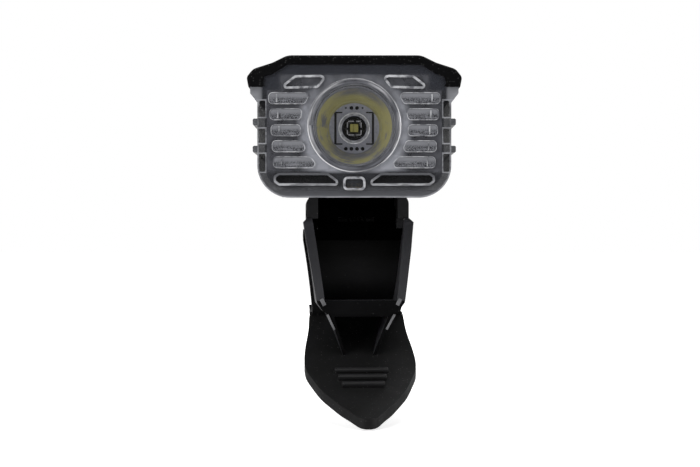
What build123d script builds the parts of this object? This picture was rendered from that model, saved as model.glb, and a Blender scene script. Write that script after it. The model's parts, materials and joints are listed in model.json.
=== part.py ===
from build123d import *
import os
from math import asin, atan2, cos, degrees, pi, radians, sin, sqrt

# Bike headlight on a sprung handlebar clip.
# The origin is the middle of the handlebar's axis. X runs across the light, -Y is the way the beam
# points, +Z is up. Lengths are in millimetres. The clip is drawn square to X and then turned with
# the handlebar by clip_turn_angle, because the body stands swivelled on it.

# Handlebar and swivel
bar_radius = 12.7
bar_to_body = 20.0
clip_turn_angle = 4.5

# Body of the light: its width, height and length follow from what it holds
body_front = 40.0
wall = 2.0
side_room = 6.5
tail_room = 10.5
button_room = 5.2
floor_rise = 2.2
front_lip = 3.0
fit_gap = 0.3
running_gap = 0.05
overrun = 5.0

# Top cover: the flat of the roof, the drop to the wings' undersides, and the roof's thickness
roof_half = 18.6
cover_thickness = 2.6
cover_drop = 8.8
cover_edge = 0.8
wing_overhang = 3.0
wing_outer_shares = ((0.76, 0.235), (0.94, 0.432), (1.0, 0.69), (0.983, 1.0))
wing_rounds = (5.0, 8.0, 3.0, 1.6)
wing_inner_shares = ((0.833, 1.0), (0.85, 0.865), (0.83, 0.68), (0.753, 0.59))

# Body shell: sides, lower corners, and the shelves that carry the wings
corner_radius = 9.0
shelf_reach = 2.0
shelf_depth = 1.8
shelf_slope = 2.6
hatch_inset = 5.0
fin_reach = 1.4
fin_height = 1.9
fin_rise_shares = (0.535, 0.343)

# Front face of the shell: everything that stands up from it has one height
relief = 0.8
lens_rise_share = 0.507
ring_radius = 13.1
ring_width = 1.6
window_depth = 0.6
bar_circle_radius = 14.9
bar_pitch = 4.45
bar_height = 3.3
bar_top_rise = 27.6
bar_margin = 3.1
bar_inset = 0.33
bar_corner = 1.2
bar_count = 5
frame_line = 0.65
frame_corner = 0.9
hexagon_shares = ((0.668, 0.79), (0.55, 0.858), (0.315, 0.861), (0.255, 0.845), (0.337, 0.768), (0.64, 0.762))
slot_shares = ((0.747, 0.152), (0.747, 0.11), (0.70, 0.083), (0.15, 0.083), (0.15, 0.121), (0.245, 0.173), (0.70, 0.173))
keypad_width = 6.2
keypad_height = 3.8
keypad_rise = 3.9
keypad_corner = 1.3
pocket_depth = 1.2
side_pocket_width = 1.7
side_pocket_wall = 0.55
side_pocket_depth = 1.5
side_pocket_shares = ((0.567, 0.682), (0.385, 0.485), (0.182, 0.308))

# Housing screws, from below into posts of the cover
post_side_inset = 4.5
post_front_inset = 6.2
post_rear_inset = 4.0
post_radius = 2.8
boss_height = 2.2
case_screw_radius = 1.1
case_screw_head_radius = 2.2
case_screw_head_height = 1.4
case_screw_grip = 9.0
gasket_width = 1.5
gasket_height = 1.0

# Light: optic, its cup and frame, and the board
optic_radius = 10.5
optic_flange = 0.5
optic_flange_height = 1.2
optic_tail_radius = 4.3
optic_pocket_radius = 3.3
optic_pocket_depth = 3.2
optic_height = 9.8
frame_thickness = 1.5
frame_clearance = 0.2
cup_wall = 1.4
board_radius = 8.2
board_thickness = 1.6
board_hole_radius = 0.55
board_hole_pitch = 1.6
board_hole_rise = 5.85
board_hole_count = 4
led_size = 3.7
led_height = 0.9
phosphor_size = 2.3
phosphor_height = 0.2
dome_radius = 1.75
dome_height = 1.1
collar_radius = 4.25
collar_width = 0.65
sink_half = 16.0
sink_to_floor = 1.3772
sink_thickness = 3.0
sink_corner = 2.0

# Power: two round cells in a tray, the main board above them
cell_radius = 9.15
cell_length = 65.0
cell_gap = 0.4
cell_cap_radius = 3.0
cell_cap_height = 0.5
cell_lift = 1.0
sink_to_cells = 2.75
tray_side = 3.3
tray_end_wall = 1.2
tray_chamfer = 2.2
tray_top_gap = 0.25
strap_thickness = 0.2
strap_height = 6.0
strap_length = 12.0
pcb_thickness = 1.6
pcb_to_sink = 4.25
pcb_over_cells = 2.4
pcb_tail = 8.0
tongue_half = 8.0
pillar_radius = 1.3
pillar_side_inset = 1.8
pillar_end_inset = 4.0
board_screw_radius = 0.6
board_screw_head_radius = 1.2
board_screw_head_height = 0.8
board_screw_grip = 4.0

# Button, its switch, and the charge lights
button_width = 13.0
button_length = 8.0
button_corner = 3.6
button_centre = 6.0
button_proud = 0.7
button_flange = 1.4
button_flange_height = 0.9
button_stem_radius = 1.6
button_travel = 0.5
switch_size = 6.0
switch_height = 3.0
plunger_radius = 1.6
plunger_proud = 1.3
plunger_depth = 1.0
light_radius = 0.8
light_pitch = 3.0
light_count = 4
light_back = 5.0

# Charging socket and its rubber cover
socket_width = 8.94
socket_height = 3.26
socket_length = 7.3
socket_wall = 0.3
socket_inset = 0.8
socket_depth = 6.2
tongue_width = 6.7
tongue_height = 0.7
flap_width = 15.0
flap_height = 8.0
flap_thickness = 1.5
flap_corner = 2.0
flap_gap = 0.2
hinge_strip = 1.8
hinge_strip_thickness = 0.6
anchor_height = 2.8
anchor_gap = 0.8

# Swivel: brass insert in the body, screw, friction washer and wave washer
insert_radius = 2.8
insert_length = 4.0
insert_boss_radius = 4.1
insert_boss_height = 2.3
swivel_screw_radius = 2.0
swivel_head_radius = 3.3
swivel_head_height = 2.0
swivel_screw_reach = 3.8
swivel_seat = 4.6
wave_thickness = 0.25
washer_radius = 5.0
washer_thickness = 0.75
washer_recess = 0.4

# Clip base: the block under the body, with the upper saddle
base_width = 30.0
base_taper = 2.4
base_front = 14.6
base_rear = 16.5
base_gap = 0.4
cheek_wall = 3.3
strip_drop = 7.8
base_edge = 3.2
pad_thickness = 1.2
saddle_wall = 3.4
saddle_start_angle = 20.0
saddle_end_angle = 106.0
pad_margin = 2.8
wall_drop = 2.8
wall_drop_front = 12.0
cavity_rear = 5.3

# Hinge of the lever
pivot_forward = 8.0
pivot_rise = 15.9
knuckle_radius = 2.4
pin_radius = 1.25
spring_bay_half = 5.5

# Lever arm: the curved wall round the bar, and the thumb paddle
arm_wall = 2.6
arm_start_angle = 137.0
arm_end_angle = 302.0
jaw_pad_start_angle = 125.0
jaw_pad_end_angle = 300.0
arm_top_half = 16.0
arm_waist_half = 13.1
arm_top_rise = 8.0
arm_waist_drop = 13.0
paddle_reach = 50.0
paddle_drop = 40.5
paddle_thickness = 2.8
paddle_root_angle = 240.0
paddle_line_shares = ((0.245, 0.397), (0.481, 0.634), (0.741, 0.834), (1.0, 1.0))
paddle_half = 16.1
paddle_plan_shares = ((0.0, 0.85), (0.08, 0.89), (0.19, 0.953), (0.29, 0.994), (0.36, 1.0), (0.43, 0.97), (0.49, 0.91))
paddle_tip_shares = ((0.56, 0.835), (0.65, 0.728), (0.73, 0.601), (0.835, 0.43), (0.93, 0.245))
grip_count = 3
grip_half = 7.9
grip_half_step = 0.8
grip_start = 26.4
grip_pitch = 3.35
grip_width = 1.6
grip_height = 0.7

# Lever brace: two cheeks, the cross lip and the keel under it
brace_top_rise = 14.5
brace_top_chamfer = 1.2
brace_top_half = 16.2
brace_low_half = 12.8
brace_thickness_top = 2.7
brace_thickness_low = 2.4
lip_drop = 9.3
lip_height = 3.7
lip_reach = 25.0
rim_top_reach = 17.0
rim_back_reach = 15.3
rim_round = 2.2
rim_mid_shares = (0.5, 0.58)
brace_foot_shares = ((0.984, 0.043), (0.86, 0.178), (0.75, 0.239), (0.57, 0.534), (0.367, 1.0))
keel_rib = 0.9
keel_foot_drop = 25.6
keel_foot_reach = 19.5

# Torsion spring round the hinge pin
wire_radius = 0.35
coil_radius = 1.85
coil_pitch = 1.17
coil_turns_count = 5
coil_steps_count = 11
spring_tip_reach = 14.6
spring_tip_rise = 8.45
spring_leg_length = 3.9
spring_hole_gap = 0.12

# Heights, from the front lip's foot up to the roof
body_floor = bar_to_body
floor_under = body_floor + floor_rise
floor_level = floor_under + wall
cell_rise = floor_level + cell_lift + cell_radius
pcb_floor = cell_rise + cell_radius + pcb_over_cells
board_top = pcb_floor + pcb_thickness
switch_top = board_top + switch_height
roof_under = switch_top + plunger_proud + button_room
body_top = roof_under + cover_thickness
body_height = body_top - body_floor
wing_under = body_top - cover_drop
lens_rise = body_floor + lens_rise_share * body_height
sink_height = 2 * (lens_rise - floor_level - sink_to_floor)

# Widths, from the two cells out to the wings, and of the clip base and its pads
cell_across = cell_radius + cell_gap / 2
tray_half = cell_across + cell_radius + tray_side
side_half = cell_across + cell_radius + side_room + wall
shelf_half = side_half + shelf_reach
half_width = side_half + wing_overhang
hatch_half = side_half - hatch_inset
bar_reach = side_half - bar_margin
base_rear_width = base_width - base_taper
saddle_half = base_rear_width / 2
pad_half = saddle_half - pad_margin

# Depths, from the face back through the lamp to the cells and the rear wall
face_plane = Plane.XZ.offset(body_front - relief)
inner_front = body_front - relief - wall
frame_front = inner_front - frame_clearance
optic_back = frame_front - optic_height
board_front = optic_back - fit_gap - running_gap
sink_front = board_front - board_thickness
sink_back = sink_front - sink_thickness
cell_start = sink_back - sink_to_cells
body_rear = cell_length - cell_start + tail_room
inner_rear = body_rear - wall
pcb_front = sink_back - pcb_to_sink
pcb_rear = inner_rear - pcb_tail


def corners(half_span, front, rear):
    """Four places: left and right, at the front and at the rear."""
    return [(side * half_span, y) for side in (-1, 1) for y in (-front, rear)]


post_spots = corners(hatch_half - post_side_inset, inner_front - post_front_inset, inner_rear - post_rear_inset)
pillar_spots = corners(tray_half - pillar_side_inset, pcb_front - pillar_end_inset, pcb_rear - pillar_end_inset)


def polar(radius, angle):
    """A point of the side view, at this distance and angle from the handlebar's axis."""
    return (radius * cos(radians(angle)), radius * sin(radians(angle)))


def ring_sector(inner, outer, start, end):
    """Side view of a curved wall round the handlebar, from one angle to another."""
    with BuildSketch(Plane.YZ, mode=Mode.PRIVATE) as sector:
        with BuildLine():
            CenterArc((0, 0), outer, start, end - start)
            CenterArc((0, 0), inner, start, end - start)
            Line(polar(inner, start), polar(outer, start))
            Line(polar(inner, end), polar(outer, end))
        make_face()
    return sector.sketch


# Outlines seen from the front, right-hand half only, as (across, height)
roof_line = [(0, body_top), (roof_half, body_top)]
roof_line += [(x * half_width, body_top - z * cover_drop) for x, z in wing_outer_shares]
rim_line = [(x * half_width, body_top - z * cover_drop) for x, z in wing_inner_shares]
rim_line += [(roof_half, roof_under), (0, roof_under)]
shelf_line = [
    (side_half, body_floor),
    (side_half, wing_under - shelf_depth - shelf_slope),
    (shelf_half, wing_under - shelf_depth),
    (shelf_half, wing_under),
]


with BuildSketch(face_plane) as shell_section:
    with BuildLine():
        Polyline((0, body_floor), *shelf_line, *rim_line, close=True)
    make_face()
    mirror(about=Plane.YZ)
    fillet(shell_section.vertices().group_by(Axis.Y)[0], radius=corner_radius)


def cavity_face(clearance, depth=inner_front):
    """Cross-section of the shell's inside at this depth, held off its walls by a clearance."""
    with BuildSketch(Plane.XZ.offset(depth), mode=Mode.PRIVATE) as face:
        add(shell_section.sketch_local)
        offset(amount=-(wall + clearance), mode=Mode.REPLACE)
        with Locations((0, floor_level + clearance - body_height / 2)):
            Rectangle(2 * half_width, body_height, mode=Mode.SUBTRACT)
    return face.sketch


# Body shell: one clear moulding, open at the top
with BuildPart() as body_shell:
    extrude(shell_section.sketch, amount=-(body_front - relief + body_rear))
    fin_root = side_half - wall / 2
    with BuildSketch(face_plane.offset(-wall)):
        for share in fin_rise_shares:
            fin_width = side_half + fin_reach - fin_root
            for side in (-1, 1):
                with Locations((side * (fin_root + fin_width / 2), body_floor + share * body_height)):
                    RectangleRounded(fin_width, fin_height, fin_height / 4)
    extrude(amount=-(body_front - relief + body_rear - 2 * wall))
    extrude(cavity_face(0), amount=-(inner_front + inner_rear), mode=Mode.SUBTRACT)
    with BuildSketch(Plane.XY.offset(wing_under)):
        with Locations((0, (inner_rear - inner_front) / 2)):
            Rectangle(2 * hatch_half, inner_front + inner_rear)
    extrude(amount=cover_drop, mode=Mode.SUBTRACT)
    # The floor stands higher than the lip under the face
    lip_back = -(body_front - relief - front_lip)
    with BuildSketch(Plane.YZ):
        with BuildLine():
            Polyline(
                (lip_back, body_floor - overrun),
                (lip_back, body_floor),
                (lip_back + floor_rise / 2, floor_under),
                (body_rear + overrun, floor_under),
                (body_rear + overrun, body_floor - overrun),
                close=True,
            )
        make_face()
    extrude(amount=half_width, both=True, mode=Mode.SUBTRACT)
    # Ring round the lens window, and the window's shallow dish
    with BuildSketch(face_plane):
        with Locations((0, lens_rise)):
            Circle(ring_radius)
            Circle(ring_radius - ring_width, mode=Mode.SUBTRACT)
    extrude(amount=relief)
    with BuildSketch(face_plane):
        with Locations((0, lens_rise)):
            Circle(ring_radius - ring_width)
    extrude(amount=-window_depth, mode=Mode.SUBTRACT)
    # Cross bars beside the lens: they end on a circle round it
    with BuildSketch(face_plane) as bar_face:
        for number in range(bar_count):
            reach = bar_reach - number * bar_inset
            with Locations((0, body_floor + bar_top_rise - number * bar_pitch)):
                Rectangle(2 * reach, bar_height)
        with Locations((0, lens_rise)):
            Circle(bar_circle_radius, mode=Mode.SUBTRACT)
        fillet(bar_face.vertices(), radius=bar_corner)
    extrude(amount=relief)
    # Framed windows above, framed slots below, and the small framed key between the slots
    for shares in (hexagon_shares, slot_shares):
        outline = [(x * half_width, body_floor + z * body_height) for x, z in shares]
        with BuildSketch(face_plane) as frame_face:
            Polygon(*outline, align=None)
            fillet(frame_face.vertices(), radius=frame_corner)
            mirror(about=Plane.YZ)
        extrude(amount=relief)
        with BuildSketch(face_plane.offset(relief)):
            add(frame_face.sketch_local)
            offset(amount=-frame_line, mode=Mode.REPLACE)
        extrude(amount=-(relief + (pocket_depth if shares is slot_shares else 0)), mode=Mode.SUBTRACT)
    with BuildSketch(face_plane):
        with Locations((0, body_floor + keypad_rise)):
            RectangleRounded(keypad_width, keypad_height, keypad_corner)
            RectangleRounded(
                keypad_width - 2 * frame_line,
                keypad_height - 2 * frame_line,
                keypad_corner - frame_line,
                mode=Mode.SUBTRACT,
            )
    extrude(amount=relief)
    # Pockets in the ends of the side walls, between the fins
    with BuildSketch(face_plane):
        for low, high in side_pocket_shares:
            for side in (-1, 1):
                across = side * (side_half - side_pocket_wall - side_pocket_width / 2)
                with Locations((across, body_floor + (low + high) / 2 * body_height)):
                    RectangleRounded(side_pocket_width, (high - low) * body_height, side_pocket_width / 3)
    extrude(amount=-side_pocket_depth, mode=Mode.SUBTRACT)
    # Bosses on the floor for the case screws and the swivel insert
    with BuildSketch(Plane.XY.offset(floor_level)):
        with Locations(*post_spots):
            Circle(post_radius)
    extrude(amount=boss_height)
    with BuildSketch(Plane.XY.offset(floor_level)):
        Circle(insert_boss_radius)
    extrude(amount=insert_boss_height)
    with BuildSketch(Plane.XY.offset(floor_under)):
        Circle(insert_radius)
    extrude(amount=insert_length, mode=Mode.SUBTRACT)
    with BuildSketch(Plane.XY.offset(floor_under)):
        with Locations(*post_spots):
            Circle(case_screw_head_radius + running_gap)
    extrude(amount=case_screw_head_height, mode=Mode.SUBTRACT)
    with BuildSketch(Plane.XY.offset(floor_under)):
        with Locations(*post_spots):
            Circle(case_screw_radius + running_gap)
    extrude(amount=wall + boss_height + overrun, mode=Mode.SUBTRACT)
    # Port for the charging socket in the rear wall
    socket_rise = board_top + socket_height / 2
    with BuildSketch(Plane.XZ.offset(-body_rear)):
        with Locations((0, socket_rise)):
            SlotOverall(socket_width + 2 * flap_gap, socket_height + 2 * flap_gap)
    extrude(amount=wall + overrun, mode=Mode.SUBTRACT)

# Top cover: roof and wings in one black moulding, with four posts for the screws
post_foot = floor_level + boss_height
with BuildPart() as top_cover:
    with BuildSketch(Plane.XZ.offset(body_front)):
        with BuildLine():
            FilletPolyline(*roof_line, radius=wing_rounds)
            Polyline(roof_line[-1], (0, wing_under), (0, body_top))
        make_face()
        mirror(about=Plane.YZ)
    extrude(amount=-(body_front + body_rear))
    end_edges = top_cover.edges().filter_by(Axis.Y, reverse=True)
    fillet(end_edges.filter_by(lambda edge: edge.center().Z > wing_under + cover_edge / 2), radius=cover_edge)
    with BuildSketch(Plane.XZ.offset(body_front)):
        with BuildLine():
            Polyline((0, wing_under), *rim_line, close=True)
        make_face()
        mirror(about=Plane.YZ)
    extrude(amount=-(body_front + body_rear), mode=Mode.SUBTRACT)
    with BuildSketch(Plane.XY.offset(post_foot)):
        with Locations(*post_spots):
            Circle(post_radius)
    extrude(amount=roof_under - post_foot)
    with BuildSketch(Plane.XY.offset(post_foot)):
        with Locations(*post_spots):
            Circle(case_screw_radius)
    extrude(amount=case_screw_grip, mode=Mode.SUBTRACT)
    with BuildSketch(Plane.XY.offset(roof_under)):
        with Locations((0, -button_centre)):
            RectangleRounded(button_width + 2 * flap_gap, button_length + 2 * flap_gap, button_corner + flap_gap)
    extrude(amount=cover_thickness, mode=Mode.SUBTRACT)
    with BuildSketch(Plane.XY.offset(roof_under)):
        with Locations((0, light_back)):
            with GridLocations(light_pitch, 0, light_count, 1):
                Circle(light_radius)
    extrude(amount=cover_thickness, mode=Mode.SUBTRACT)

# Gasket: a soft frame under the cover, against the inside of the shell's rim
slope = (rim_line[-3][1] - roof_under) / (rim_line[-3][0] - roof_half)
gasket_edge = roof_under + slope * (hatch_half - fit_gap - roof_half)
with BuildPart() as seal_gasket:
    with BuildSketch(Plane.XZ.offset(inner_front - fit_gap)):
        with BuildLine():
            Polyline(
                (0, roof_under),
                (roof_half, roof_under),
                (hatch_half - fit_gap, gasket_edge),
                (hatch_half - fit_gap, gasket_edge - gasket_height),
                (roof_half, roof_under - gasket_height),
                (0, roof_under - gasket_height),
                close=True,
            )
        make_face()
        mirror(about=Plane.YZ)
    extrude(amount=-(inner_front + inner_rear - 2 * fit_gap))
    with BuildSketch(Plane.XY.offset(wing_under)):
        with Locations((0, (inner_rear - inner_front) / 2)):
            Rectangle(
                2 * (hatch_half - fit_gap - gasket_width),
                inner_front + inner_rear - 2 * (fit_gap + gasket_width),
            )
        with Locations(*post_spots):
            Circle(post_radius + fit_gap)
    extrude(amount=cover_drop, mode=Mode.SUBTRACT)

# Case screws, from below
with BuildPart() as housing_screws:
    with BuildSketch(Plane.XY.offset(floor_under)):
        with Locations(*post_spots):
            Circle(case_screw_head_radius)
    extrude(amount=case_screw_head_height)
    with BuildSketch(Plane.XY.offset(floor_under)):
        with Locations(*post_spots):
            Circle(case_screw_radius)
    extrude(amount=wall + boss_height + case_screw_grip)

# Front frame: the black plate behind the front wall, with the hole for the optic
with BuildPart() as front_frame:
    extrude(cavity_face(fit_gap, frame_front), amount=-frame_thickness)
    with BuildSketch(Plane.XZ.offset(frame_front)):
        with Locations((0, lens_rise)):
            Circle(optic_radius + optic_flange + frame_clearance)
    extrude(amount=-frame_thickness, mode=Mode.SUBTRACT)

# Collimating optic: a flange, a cone that narrows to the LED, and the pocket that the LED's dome sits in
optic_front = frame_front
optic_plane = Plane(origin=(0, 0, lens_rise), x_dir=(1, 0, 0), z_dir=(0, 0, 1))
with BuildPart() as tir_optic:
    with BuildSketch(optic_plane):
        with BuildLine():
            Polyline(
                (optic_pocket_radius, -optic_back),
                (optic_tail_radius, -optic_back),
            )
            Spline(
                (optic_tail_radius, -optic_back),
                ((optic_tail_radius + optic_radius) / 2 + optic_flange, -(optic_back + optic_front) / 2),
                (optic_radius, -optic_front + optic_flange_height),
            )
            Polyline(
                (optic_radius, -optic_front + optic_flange_height),
                (optic_radius + optic_flange, -optic_front + optic_flange_height),
                (optic_radius + optic_flange, -optic_front),
                (0, -optic_front),
                (0, -optic_back - optic_pocket_depth),
                (optic_pocket_radius, -optic_back - optic_pocket_depth),
                (optic_pocket_radius, -optic_back),
            )
        make_face()
    revolve(axis=Axis((0, 0, lens_rise), (0, 1, 0)))

# Cup round the optic, standing on the heat sink
cup_front = frame_front - frame_thickness
with BuildPart() as optic_cup:
    with BuildSketch(optic_plane):
        with BuildLine():
            Polyline(
                (optic_radius + optic_flange, -cup_front),
                (optic_radius + optic_flange + cup_wall, -cup_front),
                (optic_radius + optic_flange + cup_wall, -(cup_front + sink_front) / 2),
                (board_radius + cup_wall + fit_gap, -sink_front),
                (board_radius + fit_gap, -sink_front),
                (board_radius + fit_gap, -board_front - fit_gap),
                (optic_radius + optic_flange, -(cup_front + optic_back) / 2),
                close=True,
            )
        make_face()
    revolve(axis=Axis((0, 0, lens_rise), (0, 1, 0)))

# LED board, with its two rows of holes
with BuildPart() as led_board:
    with BuildSketch(Plane.XZ.offset(board_front)):
        with Locations((0, lens_rise)):
            Circle(board_radius)
        for side in (-1, 1):
            with Locations((0, lens_rise + side * board_hole_rise)):
                with GridLocations(board_hole_pitch, 0, board_hole_count, 1):
                    Circle(board_hole_radius, mode=Mode.SUBTRACT)
    extrude(amount=-board_thickness)

with BuildPart() as led_collar:
    with BuildSketch(Plane.XZ.offset(board_front)):
        with Locations((0, lens_rise)):
            Circle(collar_radius)
            Circle(collar_radius - collar_width, mode=Mode.SUBTRACT)
    extrude(amount=fit_gap + running_gap)

with BuildPart() as led_package:
    with BuildSketch(Plane.XZ.offset(board_front)):
        with Locations((0, lens_rise)):
            RectangleRounded(led_size, led_size, phosphor_height)
    extrude(amount=led_height)

with BuildPart() as led_phosphor:
    with BuildSketch(Plane.XZ.offset(board_front + led_height)):
        with Locations((0, lens_rise)):
            RectangleRounded(phosphor_size, phosphor_size, phosphor_height)
    extrude(amount=phosphor_height)

dome_foot = board_front + led_height + phosphor_height
dome_ball = (dome_radius**2 + dome_height**2) / (2 * dome_height)
with BuildPart() as led_dome:
    with Locations((0, -(dome_foot + dome_height - dome_ball), lens_rise)):
        Sphere(dome_ball)
    split(bisect_by=Plane.XZ.offset(dome_foot), keep=Keep.TOP)

with BuildPart() as heat_sink:
    with BuildSketch(Plane.XZ.offset(sink_front)):
        with Locations((0, lens_rise)):
            RectangleRounded(2 * sink_half, sink_height, sink_corner)
    extrude(amount=-sink_thickness)

# Two round cells side by side, plus the strips welded across their ends
cells = {}
for name, side in (("battery_left", -1), ("battery_right", 1)):
    with BuildPart() as cell:
        with BuildSketch(Plane.XZ.offset(cell_start)):
            with Locations((side * cell_across, cell_rise)):
                Circle(cell_radius)
        extrude(amount=-(cell_length - cell_cap_height))
        with BuildSketch(Plane.XZ.offset(cell_start - cell_length + cell_cap_height)):
            with Locations((side * cell_across, cell_rise)):
                Circle(cell_cap_radius)
        extrude(amount=-cell_cap_height)
    cells[name] = cell

with BuildPart() as battery_straps:
    with BuildSketch(Plane.XZ.offset(cell_start)):
        with Locations((0, cell_rise)):
            Rectangle(2 * cell_across + cell_cap_radius, strap_height)
    extrude(amount=strap_thickness)
    with BuildSketch(Plane.XZ.offset(cell_start - cell_length)):
        for side in (-1, 1):
            with Locations((side * cell_across, cell_rise + strap_length / 4)):
                Rectangle(strap_height, strap_length)
    extrude(amount=-strap_thickness)

# Tray: a black cradle under the cells, with four pillars for the main board
tray_front = cell_start + tray_end_wall + strap_thickness
tray_rear = cell_length - cell_start + tray_end_wall / 2
tray_floor = floor_level + tray_top_gap
with BuildPart() as battery_tray:
    with BuildSketch(Plane.XZ.offset(tray_front)) as tray_section:
        with Locations((0, (tray_floor + cell_rise) / 2)):
            Rectangle(2 * tray_half, cell_rise - tray_floor)
        chamfer(tray_section.vertices().group_by(Axis.Y)[0], length=tray_chamfer)
    extrude(amount=-(tray_front + tray_rear))
    with BuildSketch(Plane.XZ.offset(cell_start + strap_thickness + running_gap)):
        with Locations((-cell_across, cell_rise), (cell_across, cell_rise)):
            Circle(cell_radius + running_gap)
        with Locations((0, cell_rise)):
            Rectangle(2 * cell_across, cell_radius)
    extrude(amount=-(cell_start + tray_rear + overrun), mode=Mode.SUBTRACT)
    with BuildSketch(Plane.XY.offset(body_floor)):
        Circle(insert_boss_radius + fit_gap)
    extrude(amount=cell_rise - body_floor, mode=Mode.SUBTRACT)
    with BuildSketch(Plane.XY.offset(cell_rise)):
        with Locations(*pillar_spots):
            Circle(pillar_radius)
    extrude(amount=pcb_floor - cell_rise)
    with BuildSketch(Plane.XY.offset(pcb_floor - board_screw_grip)):
        with Locations(*pillar_spots):
            Circle(board_screw_radius)
    extrude(amount=board_screw_grip, mode=Mode.SUBTRACT)

# Main board, with a tongue that carries the charging socket to the rear wall
socket_mouth = body_rear - socket_inset
socket_back = socket_mouth - socket_length
with BuildPart() as main_board:
    with BuildSketch(Plane.XY.offset(pcb_floor)):
        with Locations((0, (pcb_rear - pcb_front) / 2)):
            Rectangle(2 * (tray_half - fit_gap), pcb_front + pcb_rear)
        with Locations((0, (pcb_rear + inner_rear) / 2 - fit_gap / 2)):
            Rectangle(2 * tongue_half, inner_rear - pcb_rear - fit_gap)
        with Locations(*pillar_spots):
            Circle(board_screw_radius, mode=Mode.SUBTRACT)
    extrude(amount=pcb_thickness)

with BuildPart() as board_screws:
    with BuildSketch(Plane.XY.offset(pcb_floor + pcb_thickness)):
        with Locations(*pillar_spots):
            Circle(board_screw_head_radius)
    extrude(amount=board_screw_head_height)
    with BuildSketch(Plane.XY.offset(pcb_floor - board_screw_grip)):
        with Locations(*pillar_spots):
            Circle(board_screw_radius)
    extrude(amount=board_screw_grip + pcb_thickness)

# Push switch on the board, its plunger, and the rubber button above it
with BuildPart() as button_switch:
    with BuildSketch(Plane.XY.offset(board_top)):
        with Locations((0, -button_centre)):
            RectangleRounded(switch_size, switch_size, plunger_depth / 2)
    extrude(amount=switch_height)
    with BuildSketch(Plane.XY.offset(switch_top)):
        with Locations((0, -button_centre)):
            Circle(plunger_radius + fit_gap / 2)
    extrude(amount=-(plunger_depth + button_travel + fit_gap), mode=Mode.SUBTRACT)

with BuildPart() as switch_plunger:
    with BuildSketch(Plane.XY.offset(switch_top - plunger_depth)):
        with Locations((0, -button_centre)):
            Circle(plunger_radius)
    extrude(amount=plunger_depth + plunger_proud)

with BuildPart() as power_button:
    with BuildSketch(Plane.XY.offset(roof_under - fit_gap - button_flange_height)):
        with Locations((0, -button_centre)):
            RectangleRounded(
                button_width + 2 * button_flange,
                button_length + 2 * button_flange,
                button_corner + button_flange,
            )
    extrude(amount=button_flange_height)
    with BuildSketch(Plane.XY.offset(roof_under - fit_gap)):
        with Locations((0, -button_centre)):
            RectangleRounded(button_width, button_length, button_corner)
    extrude(amount=cover_thickness + fit_gap + button_proud)
    fillet(power_button.faces().sort_by(Axis.Z)[-1].edges(), radius=button_proud)
    with BuildSketch(Plane.XY.offset(switch_top + plunger_proud)):
        with Locations((0, -button_centre)):
            Circle(button_stem_radius)
    extrude(amount=roof_under - switch_top - plunger_proud - fit_gap)

with BuildPart() as charge_lights:
    with BuildSketch(Plane.XY.offset(roof_under - gasket_height)):
        with Locations((0, light_back)):
            with GridLocations(light_pitch, 0, light_count, 1):
                Circle(light_radius)
    extrude(amount=cover_thickness + gasket_height)

# Charging socket: a metal shell with its contact tongue
with BuildPart() as usb_socket:
    with BuildSketch(Plane.XZ.offset(-socket_mouth)):
        with Locations((0, socket_rise)):
            SlotOverall(socket_width, socket_height)
    extrude(amount=socket_length)
    with BuildSketch(Plane.XZ.offset(-socket_mouth)):
        with Locations((0, socket_rise)):
            SlotOverall(socket_width - 2 * socket_wall, socket_height - 2 * socket_wall)
    extrude(amount=socket_depth, mode=Mode.SUBTRACT)
    with BuildSketch(Plane.XZ.offset(-socket_mouth + socket_inset)):
        with Locations((0, socket_rise)):
            Rectangle(tongue_width, tongue_height)
    extrude(amount=socket_depth - socket_inset + socket_wall)

# Rubber cover of the socket, and the strip that ties it to the rear wall
flap_foot = socket_rise - flap_height / 2
flap_back = body_rear + flap_gap
with BuildPart() as usb_cover:
    with BuildSketch(Plane.XZ.offset(-flap_back)) as flap_face:
        with Locations((0, flap_foot + (flap_height + hinge_strip) / 2)):
            Rectangle(flap_width, flap_height - hinge_strip)
        fillet(flap_face.vertices().group_by(Axis.Y)[-1], radius=flap_corner)
    extrude(amount=-flap_thickness)
    fillet(usb_cover.faces().sort_by(Axis.Y)[-1].edges(), radius=flap_thickness / 3)
    with BuildSketch(Plane.XZ.offset(-flap_back)):
        with Locations((0, flap_foot + hinge_strip / 2)):
            Rectangle(flap_width - 2 * flap_corner, hinge_strip)
    extrude(amount=-hinge_strip_thickness)

with BuildPart() as usb_cover_anchor:
    with BuildSketch(Plane.XZ.offset(-body_rear)):
        with Locations((0, flap_foot - anchor_gap - anchor_height / 2)):
            RectangleRounded(flap_width - 2 * flap_corner, anchor_height, anchor_height / 3)
    extrude(amount=-(flap_gap + hinge_strip_thickness))

# Swivel: the insert is moulded into the shell, and the screw comes up through the clip base
base_top = floor_under - base_gap
seat_rise = base_top - swivel_seat
with BuildPart() as swivel_insert:
    with BuildSketch(Plane.XY.offset(floor_under)):
        Circle(insert_radius)
        Circle(swivel_screw_radius, mode=Mode.SUBTRACT)
    extrude(amount=insert_length)

with BuildPart() as swivel_screw:
    with BuildSketch(Plane.XY.offset(seat_rise - wave_thickness - running_gap)):
        Circle(swivel_head_radius)
    extrude(amount=-swivel_head_height)
    with BuildSketch(Plane.XY.offset(seat_rise - wave_thickness - running_gap)):
        Circle(swivel_screw_radius)
    extrude(amount=floor_under + swivel_screw_reach - seat_rise + wave_thickness + running_gap)

with BuildPart() as wave_washer:
    with BuildSketch(Plane.XY.offset(seat_rise - wave_thickness)):
        Circle(swivel_head_radius)
        Circle(swivel_screw_radius + running_gap, mode=Mode.SUBTRACT)
    extrude(amount=wave_thickness)

with BuildPart() as friction_washer:
    with BuildSketch(Plane.XY.offset(base_top - washer_recess)):
        Circle(washer_radius)
        Circle(swivel_screw_radius + running_gap, mode=Mode.SUBTRACT)
    extrude(amount=washer_thickness)

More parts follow.
